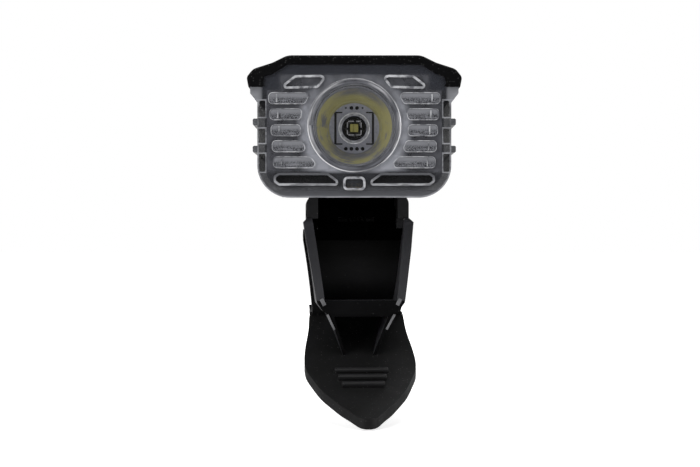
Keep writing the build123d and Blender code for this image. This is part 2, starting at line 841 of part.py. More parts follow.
# Centre line of the torsion spring: one end in the clip base, turns round the pin, the other end on the
# lever's curved wall
def biarc(start, start_way, end, end_way):
    """Two arcs that join two points smoothly, leaving and arriving in the given directions."""
    span = end - start
    ways = start_way + end_way
    blend = 2 * (1 - start_way.dot(end_way))
    along = span.dot(ways)
    reach = (-along + sqrt(along**2 + blend * span.dot(span))) / blend
    knee_in = start + start_way * reach
    knee_out = end - end_way * reach
    middle = (knee_in + knee_out) * 0.5
    TangentArc(start, middle, tangent=start_way)
    TangentArc(middle, end, tangent=knee_out - knee_in)


pivot = Vector(0, -pivot_forward, pivot_rise)
tip = Vector(0, -spring_tip_reach, spring_tip_rise)
tip_distance = (tip - pivot).length
tip_way_angle = atan2(tip.Z - pivot.Z, tip.Y - pivot.Y) + asin(coil_radius / tip_distance)
tip_leg = sqrt(tip_distance**2 - coil_radius**2)
start_angle = pi / 2
end_angle = tip_way_angle - pi / 2 + 2 * pi
coil_angle = end_angle - start_angle + 2 * pi * (coil_turns_count - 1)


def coil_point(angle):
    """Centre of the wire after this much turn from the start of the coil."""
    along = coil_pitch * (angle / (2 * pi) - coil_turns_count / 2)
    about = start_angle + angle
    return pivot + Vector(along, coil_radius * cos(about), coil_radius * sin(about))


def coil_way(angle):
    """Direction of the wire there."""
    about = start_angle + angle
    rise = coil_pitch / (2 * pi)
    return Vector(rise, -coil_radius * sin(about), coil_radius * cos(about)).normalized()


step = coil_angle / coil_steps_count
first_way = coil_way(0)
last_way = coil_way(coil_angle)
leg_start = coil_point(0) - first_way * spring_leg_length


# Clip base: a block under the body with a saddle over the handlebar. Its front is open between two
# walls, and the lever's knuckles hang on a pin between them.
seat_radius = bar_radius + pad_thickness
strip_foot = base_top - strip_drop + base_gap
with BuildPart() as clip_base:
    with BuildSketch(Plane.XY.offset(strip_foot)):
        with BuildLine():
            Polyline(
                (-base_width / 2, -base_front),
                (base_width / 2, -base_front),
                (base_rear_width / 2, base_rear),
                (-base_rear_width / 2, base_rear),
                close=True,
            )
        make_face()
    extrude(amount=base_top - strip_foot)
    top_edges = clip_base.faces().sort_by(Axis.Z)[-1].edges()
    fillet(top_edges.filter_by(Axis.X, reverse=True), radius=base_edge)
    saddle = ring_sector(seat_radius, seat_radius + saddle_wall, saddle_start_angle, saddle_end_angle)
    extrude(saddle, amount=saddle_half, both=True)
    with BuildSketch(Plane.XY.offset(strip_foot - wall_drop)):
        with Locations((0, -(wall_drop_front + cavity_rear) / 2)):
            Rectangle(base_rear_width, wall_drop_front - cavity_rear)
    extrude(amount=wall_drop)
    with BuildSketch(Plane.XY.offset(strip_foot - wall_drop)):
        with Locations((0, -(base_front + overrun + cavity_rear) / 2)):
            Rectangle(base_width - 2 * cheek_wall, base_front + overrun - cavity_rear)
    extrude(amount=base_top, mode=Mode.SUBTRACT)
    with BuildSketch(Plane.YZ):
        Circle(seat_radius)
    extrude(amount=base_width, both=True, mode=Mode.SUBTRACT)
    # Hole for the hinge pin, right through both walls
    with BuildSketch(Plane.YZ):
        with Locations((-pivot_forward, pivot_rise)):
            Circle(pin_radius)
    extrude(amount=base_width, both=True, mode=Mode.SUBTRACT)
    # Screw seat from below, clearance hole, and the washer's recess on top
    with BuildSketch(Plane.XY.offset(seat_rise)):
        Circle(swivel_head_radius + fit_gap)
    extrude(amount=-swivel_seat, mode=Mode.SUBTRACT)
    with BuildSketch(Plane.XY.offset(bar_radius)):
        Circle(swivel_screw_radius + running_gap)
    extrude(amount=base_top - bar_radius + overrun, mode=Mode.SUBTRACT)
    with BuildSketch(Plane.XY.offset(base_top - washer_recess)):
        Circle(washer_radius + running_gap)
    extrude(amount=washer_recess + overrun, mode=Mode.SUBTRACT)
    # Hole that holds the fixed end of the spring
    with BuildSketch(Plane(origin=leg_start - first_way * fit_gap, z_dir=first_way)):
        Circle(wire_radius + spring_hole_gap)
    extrude(amount=spring_leg_length, mode=Mode.SUBTRACT)

with BuildPart() as upper_pad:
    extrude(ring_sector(bar_radius, seat_radius, saddle_start_angle, saddle_end_angle), amount=pad_half, both=True)

# Lever arm: the curved wall stands in front of the handlebar and under it, and runs out into the paddle
arm_radius = seat_radius + arm_wall
root = polar(seat_radius + arm_wall / 2, paddle_root_angle)


def between(root_value, tip_value, share):
    """A value that goes from the paddle's root to its tip."""
    return root_value + share * (tip_value - root_value)


paddle_line = [root]
paddle_line += [
    (between(root[0], -paddle_reach, x), between(root[1], -paddle_drop, z)) for x, z in paddle_line_shares
]
with BuildPart() as paddle:
    with BuildSketch(Plane.YZ):
        with BuildLine():
            top_line = Spline(*paddle_line)
            low_line = Spline(*[(y, z - paddle_thickness) for y, z in paddle_line])
            Line(top_line @ 0, low_line @ 0)
            Line(top_line @ 1, low_line @ 1)
        make_face()
    extrude(amount=paddle_half + overrun, both=True)
    with BuildSketch(Plane.XY.offset(-paddle_drop - overrun), mode=Mode.PRIVATE) as plan:
        with BuildLine():
            side_line = [
                (w * paddle_half, between(root[0], -paddle_reach, y))
                for y, w in paddle_plan_shares + paddle_tip_shares
            ]
            Line((0, root[0]), side_line[0])
            Spline(*side_line, (0, -paddle_reach), tangents=((1, -2), (-1, 0)))
            Line((0, -paddle_reach), (0, root[0]))
        make_face()
        mirror(about=Plane.YZ)
    extrude(plan.sketch, amount=paddle_drop + overrun, mode=Mode.INTERSECT)
    # Grip ridges across the thumb's place, standing on the slope between two points of the paddle's line
    slope_start, slope_end = [Vector(0, y, z) for y, z in (paddle_line[2], paddle_line[3])]
    slope_way = (slope_end - slope_start).normalized()
    slope_plane = Plane(origin=slope_start, x_dir=(1, 0, 0), z_dir=Vector(1, 0, 0).cross(-slope_way))
    for number in range(grip_count):
        along = (grip_start + number * grip_pitch + slope_start.Y) / -slope_way.Y
        with BuildSketch(slope_plane.offset(-grip_height)):
            with Locations((0, -along)):
                RectangleRounded(2 * (grip_half - number * grip_half_step), grip_width, grip_width / 3)
        extrude(amount=2 * grip_height)

with BuildPart() as lever_arm:
    arm_wall_face = ring_sector(seat_radius, arm_radius, arm_start_angle, arm_end_angle)
    extrude(arm_wall_face, amount=arm_top_half, both=True)
    with BuildSketch(Plane.XZ.offset(arm_radius + overrun), mode=Mode.PRIVATE) as arm_front:
        with BuildLine():
            Polyline(
                (0, arm_radius),
                (arm_top_half, arm_radius),
                (arm_top_half, arm_top_rise),
                (arm_waist_half, -arm_waist_drop),
                (arm_waist_half, -arm_radius - overrun),
                (0, -arm_radius - overrun),
                close=True,
            )
        make_face()
        mirror(about=Plane.YZ)
    extrude(arm_front.sketch, amount=-2 * (arm_radius + overrun), mode=Mode.INTERSECT)
    neck_half = base_width / 2 - cheek_wall - fit_gap
    pivot_angle = degrees(atan2(pivot_rise, -pivot_forward))
    extrude(ring_sector(seat_radius, arm_radius, pivot_angle, arm_start_angle), amount=neck_half, both=True)
    with BuildSketch(Plane.YZ):
        with Locations((-pivot_forward, pivot_rise)):
            Circle(knuckle_radius)
    extrude(amount=neck_half, both=True)
    add(paddle.part)
    with BuildSketch(Plane.YZ):
        with Locations((-pivot_forward, pivot_rise)):
            Circle(pin_radius + running_gap)
    extrude(amount=base_width, both=True, mode=Mode.SUBTRACT)
    with BuildSketch(Plane.YZ):
        with Locations((-pivot_forward, pivot_rise)):
            Circle(knuckle_radius + fit_gap)
    extrude(amount=spring_bay_half, both=True, mode=Mode.SUBTRACT)
    with BuildSketch(Plane.YZ):
        Circle(seat_radius)
    extrude(amount=paddle_half, both=True, mode=Mode.SUBTRACT)

with BuildPart() as jaw_pad:
    jaw_pad_face = ring_sector(bar_radius, seat_radius, jaw_pad_start_angle, jaw_pad_end_angle)
    extrude(jaw_pad_face, amount=pad_half, both=True)

# Lever brace: drawn from the side, cut to its outline from the front, and opened between the cheeks
rim_mid_y = -rim_top_reach - rim_mid_shares[1] * (lip_reach - rim_top_reach)
rim_mid_z = brace_top_rise - rim_mid_shares[0] * (brace_top_rise + lip_drop)
with BuildPart() as lever_brace:
    with BuildSketch(Plane.YZ):
        with BuildLine():
            Line((0, brace_top_rise), (-rim_back_reach, brace_top_rise))
            ThreePointArc(
                (-rim_back_reach, brace_top_rise),
                (-rim_top_reach + rim_round / 3, brace_top_rise - rim_round / 3),
                (-rim_top_reach, brace_top_rise - rim_round),
            )
            ThreePointArc(
                (-rim_top_reach, brace_top_rise - rim_round),
                (rim_mid_y, rim_mid_z),
                (-lip_reach, -lip_drop),
            )
            Polyline(
                (-lip_reach, -lip_drop),
                (-lip_reach, -lip_drop - lip_height),
                (-keel_foot_reach, -keel_foot_drop),
                (0, -keel_foot_drop),
                (0, brace_top_rise),
            )
        make_face()
        Circle(arm_radius, mode=Mode.SUBTRACT)
        with Locations((-rim_back_reach / 2, brace_top_rise)):
            Rectangle(rim_back_reach, 2 * (brace_top_rise - arm_top_rise), mode=Mode.SUBTRACT)
    extrude(amount=brace_top_half, both=True)
    with BuildSketch(Plane.XZ.offset(lip_reach + overrun), mode=Mode.PRIVATE) as brace_front:
        with BuildLine():
            foot = [
                (x * brace_low_half, -lip_drop - z * (keel_foot_drop - lip_drop)) for x, z in brace_foot_shares
            ]
            Polyline(
                (0, brace_top_rise),
                (brace_top_half - brace_top_chamfer, brace_top_rise),
                (brace_top_half, brace_top_rise - brace_top_chamfer),
                (brace_low_half, -lip_drop),
                *foot,
                (0, -keel_foot_drop),
                close=True,
            )
        make_face()
        mirror(about=Plane.YZ)
    extrude(brace_front.sketch, amount=-(lip_reach + 2 * overrun), mode=Mode.INTERSECT)
    with BuildSketch(Plane.XZ.offset(lip_reach + overrun)):
        with BuildLine():
            Polyline(
                (0, brace_top_rise + overrun),
                (brace_top_half - brace_thickness_top, brace_top_rise + overrun),
                (brace_top_half - brace_thickness_top, brace_top_rise),
                (brace_low_half - brace_thickness_low, -lip_drop),
                (0, -lip_drop),
                close=True,
            )
        make_face()
        mirror(about=Plane.YZ)
    extrude(amount=-(lip_reach + 2 * overrun), mode=Mode.SUBTRACT)
    # The keel is open between two ribs
    with BuildSketch(Plane.XZ.offset(lip_reach + overrun)):
        with BuildLine():
            Polyline(
                (0, -lip_drop - lip_height - keel_rib),
                (foot[-3][0] - 2 * keel_rib, -lip_drop - lip_height - keel_rib),
                (foot[-2][0] - keel_rib, foot[-2][1]),
                (foot[-1][0] - keel_rib, foot[-1][1]),
                (0, foot[-1][1]),
                close=True,
            )
        make_face()
        mirror(about=Plane.YZ)
    extrude(amount=-(lip_reach + 2 * overrun), mode=Mode.SUBTRACT)
    # The keel stands on the paddle
    with BuildSketch(Plane.YZ):
        with BuildLine():
            Spline(*paddle_line)
            Polyline(
                paddle_line[-1],
                (-paddle_reach, -paddle_drop - overrun),
                (0, -paddle_drop - overrun),
                (0, paddle_line[0][1]),
                paddle_line[0],
            )
        make_face()
    extrude(amount=brace_top_half, both=True, mode=Mode.SUBTRACT)

with BuildPart() as hinge_pin:
    with BuildSketch(Plane.YZ):
        with Locations((-pivot_forward, pivot_rise)):
            Circle(pin_radius)
    extrude(amount=base_width / 2 - running_gap, both=True)
    chamfer(hinge_pin.edges().group_by(Axis.X)[0] + hinge_pin.edges().group_by(Axis.X)[-1], length=fit_gap)


with BuildPart() as torsion_spring:
    with BuildLine():
        Line(leg_start, coil_point(0))
        for number in range(coil_steps_count):
            turned = number * step
            biarc(coil_point(turned), coil_way(turned), coil_point(turned + step), coil_way(turned + step))
        Line(coil_point(coil_angle), coil_point(coil_angle) + last_way * tip_leg)
    with BuildSketch(Plane(origin=leg_start, z_dir=first_way)):
        Circle(wire_radius)
    sweep()

samples = [coil_point(coil_angle * n / 400) for n in range(401)]
turn_samples = int(400 * 1.5 * pi / coil_angle)
least_gap = min(
    (samples[i] - samples[j]).length - 2 * wire_radius
    for i in range(len(samples))
    for j in range(i + turn_samples // 2, len(samples))
)
print("least gap between turns of the spring:", round(least_gap, 3))

os.makedirs("parts", exist_ok=True)

body_pieces = {
    "body_shell": body_shell,
    "top_cover": top_cover,
    "seal_gasket": seal_gasket,
    "housing_screws": housing_screws,
    "front_frame": front_frame,
    "tir_optic": tir_optic,
    "optic_cup": optic_cup,
    "led_board": led_board,
    "led_collar": led_collar,
    "led_package": led_package,
    "led_phosphor": led_phosphor,
    "led_dome": led_dome,
    "heat_sink": heat_sink,
    "battery_straps": battery_straps,
    "battery_tray": battery_tray,
    "main_board": main_board,
    "board_screws": board_screws,
    "button_switch": button_switch,
    "switch_plunger": switch_plunger,
    "power_button": power_button,
    "charge_lights": charge_lights,
    "usb_socket": usb_socket,
    "usb_cover": usb_cover,
    "usb_cover_anchor": usb_cover_anchor,
    "swivel_insert": swivel_insert,
    "swivel_screw": swivel_screw,
    **cells,
}
for name, piece in body_pieces.items():
    piece.part.label = name
    export_step(piece.part, f"parts/{name}.step")

clip_pieces = {
    "friction_washer": friction_washer,
    "wave_washer": wave_washer,
    "clip_base": clip_base,
    "upper_pad": upper_pad,
    "lever_arm": lever_arm,
    "lever_brace": lever_brace,
    "jaw_pad": jaw_pad,
    "hinge_pin": hinge_pin,
    "torsion_spring": torsion_spring,
}
for name, piece in clip_pieces.items():
    turned_piece = piece.part.rotate(Axis.Z, clip_turn_angle)
    turned_piece.label = name
    export_step(turned_piece, f"parts/{name}.step")
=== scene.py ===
# %% [markdown]
# # A bike headlight on a handlebar clip
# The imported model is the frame: it says where each piece is and how it moves. This script dresses
# it. Rigid mouldings are copied from the frame and get the rounded edges that real mouldings
# have, because those thin rounded edges are what catches the light. Everything is in metres.

# %% Load the frame
import json
from math import cos, pi, radians, sin, tau
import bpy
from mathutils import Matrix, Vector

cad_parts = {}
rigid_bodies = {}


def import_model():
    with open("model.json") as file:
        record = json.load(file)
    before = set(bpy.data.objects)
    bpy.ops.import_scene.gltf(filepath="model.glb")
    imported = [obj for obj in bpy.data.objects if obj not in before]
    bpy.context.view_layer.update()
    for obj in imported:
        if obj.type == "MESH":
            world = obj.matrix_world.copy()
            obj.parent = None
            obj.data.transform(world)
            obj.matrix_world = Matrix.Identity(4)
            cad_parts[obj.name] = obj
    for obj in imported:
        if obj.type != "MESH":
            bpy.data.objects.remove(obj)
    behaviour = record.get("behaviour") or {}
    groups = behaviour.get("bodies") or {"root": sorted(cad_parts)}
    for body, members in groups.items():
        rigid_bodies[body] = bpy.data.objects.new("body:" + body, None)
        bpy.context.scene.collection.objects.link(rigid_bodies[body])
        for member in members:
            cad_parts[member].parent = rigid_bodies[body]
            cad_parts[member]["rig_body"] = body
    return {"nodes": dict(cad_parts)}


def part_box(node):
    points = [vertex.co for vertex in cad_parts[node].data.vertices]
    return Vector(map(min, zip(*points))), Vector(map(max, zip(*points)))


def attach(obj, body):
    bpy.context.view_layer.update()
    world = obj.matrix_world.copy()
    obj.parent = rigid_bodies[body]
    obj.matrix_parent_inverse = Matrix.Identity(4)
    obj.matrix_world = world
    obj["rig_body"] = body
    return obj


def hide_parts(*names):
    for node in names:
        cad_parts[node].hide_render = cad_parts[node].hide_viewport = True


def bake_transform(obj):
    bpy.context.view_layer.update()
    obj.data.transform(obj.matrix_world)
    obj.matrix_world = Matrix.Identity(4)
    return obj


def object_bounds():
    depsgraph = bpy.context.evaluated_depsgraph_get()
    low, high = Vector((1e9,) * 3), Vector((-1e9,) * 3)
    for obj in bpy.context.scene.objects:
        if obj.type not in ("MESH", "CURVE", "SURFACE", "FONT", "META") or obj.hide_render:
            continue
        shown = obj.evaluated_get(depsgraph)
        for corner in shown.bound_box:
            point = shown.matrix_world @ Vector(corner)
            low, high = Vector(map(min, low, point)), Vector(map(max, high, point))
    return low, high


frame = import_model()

from types import SimpleNamespace

import bmesh
import bpy
from mathutils import Matrix, Vector
from mathutils.bvhtree import BVHTree

MM = 0.001
cad_box = [list(corner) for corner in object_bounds()]
print("CAD box", cad_box)


# %% Objects for the scene
def add_object(name, data):
    """Makes an object from a mesh, lamp or camera, and puts it in the scene."""
    made = bpy.data.objects.new(name, data)
    bpy.context.scene.collection.objects.link(made)
    return made


# %% [markdown]
# ## Camera
# The camera stands at the clip's height, half a metre in front of the handlebar. A long lens of
# 83 mm on a 36 mm sensor gives the photograph's perspective: the paddle, which comes towards the
# camera, grows a little.

# %% Camera
SENSOR_WIDTH = 36.0
PHOTO_WIDTH = 700
FOCAL_LENGTH_IN_PIXELS = 1620
photo_lens = bpy.data.cameras.new("photo_camera")
photo_lens.sensor_width = SENSOR_WIDTH
photo_lens.lens = SENSOR_WIDTH * FOCAL_LENGTH_IN_PIXELS / PHOTO_WIDTH
camera = add_object("photo_camera", photo_lens)
camera.location = (-1.2 * MM, -490 * MM, 10 * MM)
camera.rotation_euler = (pi / 2, 0, 0)
bpy.context.scene.camera = camera
bpy.context.scene.view_settings.view_transform = "Standard"
print("lens", round(photo_lens.lens, 2), "mm")

# %% [markdown]
# ## Light and floor
# Black plastic is drawn by its reflections, so the room in front of the light stays dim and the
# lamps stand at the sides and above. The background is white only for what the camera sees
# directly or through clear parts.

# %% World: white to the eye, dim to the object
ROOM_LEVEL = 0.16
WHITE = (1.0, 1.0, 1.0, 1.0)
world = bpy.data.worlds.new("studio")
world.use_nodes = True
bpy.context.scene.world = world
sky = world.node_tree
backdrop_light = sky.nodes["Background"]
backdrop_light.inputs["Color"].default_value = WHITE
seen = sky.nodes.new("ShaderNodeLightPath")
either = sky.nodes.new("ShaderNodeMath")
either.operation = "MAXIMUM"
level = sky.nodes.new("ShaderNodeMapRange")
level.inputs["To Min"].default_value = ROOM_LEVEL
level.inputs["To Max"].default_value = 1.0
sky.links.new(seen.outputs["Is Camera Ray"], either.inputs[0])
sky.links.new(seen.outputs["Is Transmission Ray"], either.inputs[1])
sky.links.new(either.outputs["Value"], level.inputs["Value"])
sky.links.new(level.outputs["Result"], backdrop_light.inputs["Strength"])
print("world made")


# %% Soft boxes
def soft_lamp(name, place, target, size, watts):
    """A square soft box at a place, turned to face a target."""
    data = bpy.data.lights.new(name, "AREA")
    data.size = size
    data.energy = watts
    lamp = add_object(name, data)
    lamp.location = place
    lamp.rotation_euler = (Vector(target) - Vector(place)).to_track_quat("-Z", "Y").to_euler()


AIM = (0, -0.02, 0.02)
soft_lamp("left_box", (-0.55, -0.42, 0.22), AIM, 0.45, 3.2)
soft_lamp("right_box", (0.62, -0.30, 0.10), AIM, 0.40, 2.2)
soft_lamp("top_box", (0.0, -0.16, 0.62), AIM, 0.55, 2.6)
soft_lamp("low_box", (-0.12, -0.42, -0.40), AIM, 0.30, 0.7)
soft_lamp("back_box", (0.10, 0.60, 0.30), AIM, 0.50, 2.4)
print("lamps", len(bpy.data.lights))

# %% Floor: pale, with the light's shadow
FLOOR_DROP = cad_box[0][2] - 0.4 * MM
FLOOR_REACH = 4.0
FLOOR_GREY = 0.82
floor_mesh = bpy.data.meshes.new("floor")
floor_corners = [
    (x * FLOOR_REACH, y * FLOOR_REACH, FLOOR_DROP) for x, y in ((-1, -1), (1, -1), (1, 1), (-1, 1))
]
floor_mesh.from_pydata(floor_corners, [], [(0, 1, 2, 3)])
floor = add_object("floor", floor_mesh)
pale_floor = bpy.data.materials.new("pale_floor")
pale_floor.use_nodes = True
floor_mesh.materials.append(pale_floor)
floor_tree = pale_floor.node_tree
floor_paint = floor_tree.nodes["Principled BSDF"]
floor_paint.inputs["Base Color"].default_value = (FLOOR_GREY, FLOOR_GREY, FLOOR_GREY, 1)
floor_paint.inputs["Roughness"].default_value = 0.9
floor_paint.inputs["Specular IOR Level"].default_value = 0.0
floor_paint.inputs["Emission Color"].default_value = WHITE

# %% The floor turns white to the eye away from the object, so that only the shadow near it shows
GLOW_BY_DISTANCE = {"From Min": 0.10, "From Max": 0.45, "To Min": 0.66, "To Max": 1.0}
floor_eye = floor_tree.nodes.new("ShaderNodeLightPath")
floor_place = floor_tree.nodes.new("ShaderNodeTexCoord")
away = floor_tree.nodes.new("ShaderNodeVectorMath")
away.operation = "LENGTH"
fading = floor_tree.nodes.new("ShaderNodeMapRange")
for label, value in GLOW_BY_DISTANCE.items():
    fading.inputs[label].default_value = value
floor_glow = floor_tree.nodes.new("ShaderNodeMath")
floor_glow.operation = "MULTIPLY"
floor_tree.links.new(floor_place.outputs["Object"], away.inputs[0])
floor_tree.links.new(away.outputs["Value"], fading.inputs["Value"])
floor_tree.links.new(fading.outputs["Result"], floor_glow.inputs[1])
floor_tree.links.new(floor_eye.outputs["Is Camera Ray"], floor_glow.inputs[0])
floor_tree.links.new(floor_glow.outputs["Value"], floor_paint.inputs["Emission Strength"])
print("floor at", round(FLOOR_DROP, 4))

# %% [markdown]
# ## Finishes
# Each finish is a small node tree on one Principled shader. Colour, gloss and grain vary with the
# place on the piece, read from object coordinates, which here are the frame's own metres. The
# tree could be built by hand in the shader editor; a few short methods do the same and keep each
# recipe readable.


# %% Helpers for node trees
class Finish:
    """One material with its Principled shader, and short ways to add nodes."""

    def __init__(self, name, colour, roughness, **sockets):
        self.material = bpy.data.materials.new(name)
        self.material.use_nodes = True
        self.tree = self.material.node_tree
        self.shader = self.tree.nodes["Principled BSDF"]
        self.shader.inputs["Base Color"].default_value = (*colour, 1)
        self.shader.inputs["Roughness"].default_value = roughness
        for label, value in sockets.items():
            self.shader.inputs[label.replace("_", " ")].default_value = value
        self.point = self.node("ShaderNodeTexCoord").outputs["Object"]

    def node(self, kind, **settings):
        made = self.tree.nodes.new(kind)
        for label, value in settings.items():
            setattr(made, label, value)
        return made

    def join(self, source, target):
        self.tree.links.new(source, target)

    def maths(self, operation, *values):
        """One Math node; each value is a number or the output of another node."""
        made = self.node("ShaderNodeMath", operation=operation)
        for number, value in enumerate(values):
            if isinstance(value, (int, float)):
                made.inputs[number].default_value = value
            else:
                self.join(value, made.inputs[number])
        return made.outputs[0]

    def times(self, first, second):
        return self.maths("MULTIPLY", first, second)

    def most(self, first, second):
        return self.maths("MAXIMUM", first, second)

    def spread(self, value, low, high, to_low=0, to_high=1):
        """Maps a value from one range to another, held at the ends."""
        made = self.node("ShaderNodeMapRange")
        ends = (("From Min", low), ("From Max", high), ("To Min", to_low), ("To Max", to_high))
        for label, number in ends:
            made.inputs[label].default_value = number
        self.join(value, made.inputs["Value"])
        return made.outputs["Result"]

    def band(self, value, low, high, soft):
        """1 between two values and 0 outside them, with soft ends."""
        rising = self.spread(value, low - soft, low + soft)
        falling = self.spread(value, high - soft, high + soft, 1, 0)
        return self.times(rising, falling)

    def length(self, first, second):
        """Length of the two sides' diagonal, as in a right triangle."""
        squares = self.maths("ADD", self.times(first, first), self.times(second, second))
        return self.maths("SQRT", squares)

    def noise(self, size, detail=3.0, point=None):
        """Noise whose features are about this size, in metres."""
        made = self.node("ShaderNodeTexNoise")
        made.inputs["Scale"].default_value = 1 / size
        made.inputs["Detail"].default_value = detail
        self.join(point or self.point, made.inputs["Vector"])
        return made.outputs["Fac"]

    def specks(self, size, share):
        """Fine dust: small round dots, one in some of the cells of this size."""
        cells = self.node("ShaderNodeTexVoronoi")
        cells.inputs["Scale"].default_value = 1 / size
        self.join(self.point, cells.inputs["Vector"])
        dot = self.spread(cells.outputs["Distance"], 0.10, 0.28, 1, 0)
        parts = self.node("ShaderNodeSeparateColor")
        self.join(cells.outputs["Color"], parts.inputs["Color"])
        chosen = self.maths("LESS_THAN", parts.outputs["Red"], share)
        strength = self.times(dot, parts.outputs["Green"])
        return self.times(strength, chosen)

    def blend(self, factor, first, second):
        """Mixes two colours, each a triple or the output of another node."""
        made = self.node("ShaderNodeMix", data_type="RGBA")
        self.join(factor, made.inputs["Factor"])
        for label, colour in (("A", first), ("B", second)):
            socket = [s for s in made.inputs if s.name == label and s.type == "RGBA"][0]
            if isinstance(colour, tuple):
                socket.default_value = (*colour, 1)
            else:
                self.join(colour, socket)
        return [s for s in made.outputs if s.type == "RGBA"][0]

    def colour(self, tone):
        self.join(tone, self.shader.inputs["Base Color"])

    def roughness(self, value):
        self.join(value, self.shader.inputs["Roughness"])

    def bump(self, height, depth, strength=1.0):
        made = self.node("ShaderNodeBump")
        made.inputs["Distance"].default_value = depth
        made.inputs["Strength"].default_value = strength
        self.join(height, made.inputs["Height"])
        self.join(made.outputs["Normal"], self.shader.inputs["Normal"])

    def coordinates(self):
        """The point's three coordinates, in metres."""
        parts = self.node("ShaderNodeSeparateXYZ")
        self.join(self.point, parts.inputs["Vector"])
        return parts.outputs["X"], parts.outputs["Y"], parts.outputs["Z"]

    def millimetres(self, value, start):
        """How far a coordinate lies from a start, in millimetres."""
        return self.times(self.maths("SUBTRACT", value, start), 1 / MM)

    def around_lens(self):
        """The point's place round the lens's axis: beside and above it, its radius and its turn."""
        across, _, rise = self.coordinates()
        beside, above = self.times(across, 1 / MM), self.millimetres(rise, LENS_RISE)
        return SimpleNamespace(
            beside=beside,
            above=above,
            radius=self.length(beside, above),
            turn=self.maths("ARCTAN2", above, beside),
        )

    def circling(self, across, above, along, outward):
        """Noise whose strokes run round a centre; the two places are in millimetres from it."""
        turn = self.maths("ARCTAN2", above, across)
        place = self.node("ShaderNodeCombineXYZ")
        self.join(self.times(turn, along), place.inputs["X"])
        self.join(self.times(self.length(across, above), outward), place.inputs["Y"])
        return self.noise(1.0, 4, place.outputs["Vector"])

    def towards(self, turn, degrees):
        """1 in one direction round a centre, falling to -1 in the opposite one."""
        return self.maths("SINE", self.maths("ADD", turn, radians(90 - degrees)))


print("helpers for finishes ready")

# %% [markdown]
# ### Black plastics
# The cover is matte and shows fine pale dust, the clip is a plain grained moulding, and the
# lever's cheeks are a little glossier. All come from one recipe: a near-black base that varies
# slowly, dust dots, an uneven sheen and a fine grain as bump. What lies deep in the clip hardly
# gets any light in the photograph, so a finish may also fade to black with height.

# %% Recipe for black plastic
SHADE_FADE_BLACK = (0.0002, 0.0002, 0.0002)


def black_plastic(
    name, dark, light, roughness, dust,
    grain=0.35, gloss=0.5, dust_size=0.9, dust_tone=0.35, fade=None,
):
    """Near-black plastic; grain, dust_size and fade in millimetres, dust as a share of cells."""
    finish = Finish(name, dark, roughness, Specular_IOR_Level=gloss)
    cloud = finish.noise(9 * MM, 4)
    base = finish.blend(finish.spread(cloud, 0.35, 0.7), dark, light)
    dots = finish.specks(dust_size * MM, dust)
    base = finish.blend(dots, base, (dust_tone, dust_tone, dust_tone))
    # fade is painted shade: the colour turns near black towards the top
    if fade:
        _, _, rise = finish.coordinates()
        low, high = fade
        base = finish.blend(finish.spread(rise, low * MM, high * MM), base, SHADE_FADE_BLACK)
    finish.colour(base)
    sheen = finish.noise(3 * MM, 3)
    finish.roughness(finish.spread(sheen, 0.3, 0.7, roughness - 0.03, roughness + 0.04))
    finish.bump(finish.noise(grain * MM, 2), 0.02 * MM, 0.5)
    return finish.material


# %% Black finishes
cover_black = black_plastic(
    "cover_black", (0.0010, 0.0010, 0.0012), (0.0020, 0.0020, 0.0024), 0.6, 0.42,
    gloss=0.06, dust_size=0.6, dust_tone=0.16,
)
clip_black = black_plastic(
    "clip_black", (0.007, 0.007, 0.0075), (0.010, 0.010, 0.011), 0.5, 0.05,
    gloss=0.2, dust_tone=0.05,
)
paddle_black = black_plastic(
    "paddle_black", (0.0055, 0.0055, 0.0056), (0.0078, 0.0078, 0.0082), 0.5, 0.30,
    gloss=0.17, dust_size=0.6, dust_tone=0.09,
)
brace_black = black_plastic(
    "brace_black", (0.026, 0.026, 0.029), (0.032, 0.032, 0.036), 0.40, 0.0, gloss=0.40
)
# Pale black for painted highlights on small facets of the lever
brace_highlight = black_plastic(
    "brace_highlight", (0.09, 0.09, 0.095), (0.22, 0.22, 0.23), 0.35, 0.0, grain=0.9, gloss=0.5
)
lip_black = black_plastic(
    "lip_black", (0.0028, 0.0028, 0.0030), (0.0045, 0.0045, 0.0048), 0.7, 0.25,
    gloss=0.03, dust_tone=0.04,
)
# The lever's curved wall: a darker copy of the paddle's black, with painted shade that turns near
# black towards the top
wall_shaded_black = black_plastic(
    "wall_shaded_black", (0.0035, 0.0035, 0.0038), (0.0055, 0.0055, 0.0060), 0.6, 0.08,
    gloss=0.10, dust_tone=0.03, fade=(-3.0, 4.0),
)
# A paler copy of the paddle's black for the three ridges: painted light on their tops
ridge_black_lit = black_plastic(
    "ridge_black_lit", (0.011, 0.011, 0.0115), (0.016, 0.016, 0.017), 0.45, 0.05,
    gloss=0.25, dust_tone=0.06,
)
# Painted shade: a near-black matte for hollows in the clip that lie in the shadow of the light's
# body
painted_shade_black = black_plastic(
    "painted_shade_black", (0.0003, 0.0003, 0.0003), (0.0008, 0.0008, 0.0008), 0.9, 0.0, gloss=0.0
)
inner_black = black_plastic(
    "inner_black", (0.003, 0.003, 0.0035), (0.006, 0.006, 0.007), 0.5, 0.0, gloss=0.15
)
rubber_black = black_plastic(
    "rubber_black", (0.010, 0.010, 0.010), (0.016, 0.016, 0.016), 0.65, 0.10,
    gloss=0.2, dust_tone=0.05,
)
print("black finishes made")

# %% [markdown]
# ### Smoky clear shell
# The shell is one clear moulding with grey-blue smoke in it. Real glass shaders would show
# whatever room is put round it, and the room round the light can't be known. So the colour, painted
# highlights and painted shade among it, is laid on in layers by place instead: how far a point lies
# out from the middle, up from the foot, out from the lens's axis and behind the face. The raised
# rims and outlines carry painted highlights, the middles of the bars are grey and gritty, the webs
# smoky, the deep pockets nearly black with painted shade, and the round window in front of the
# optic is quite clear.

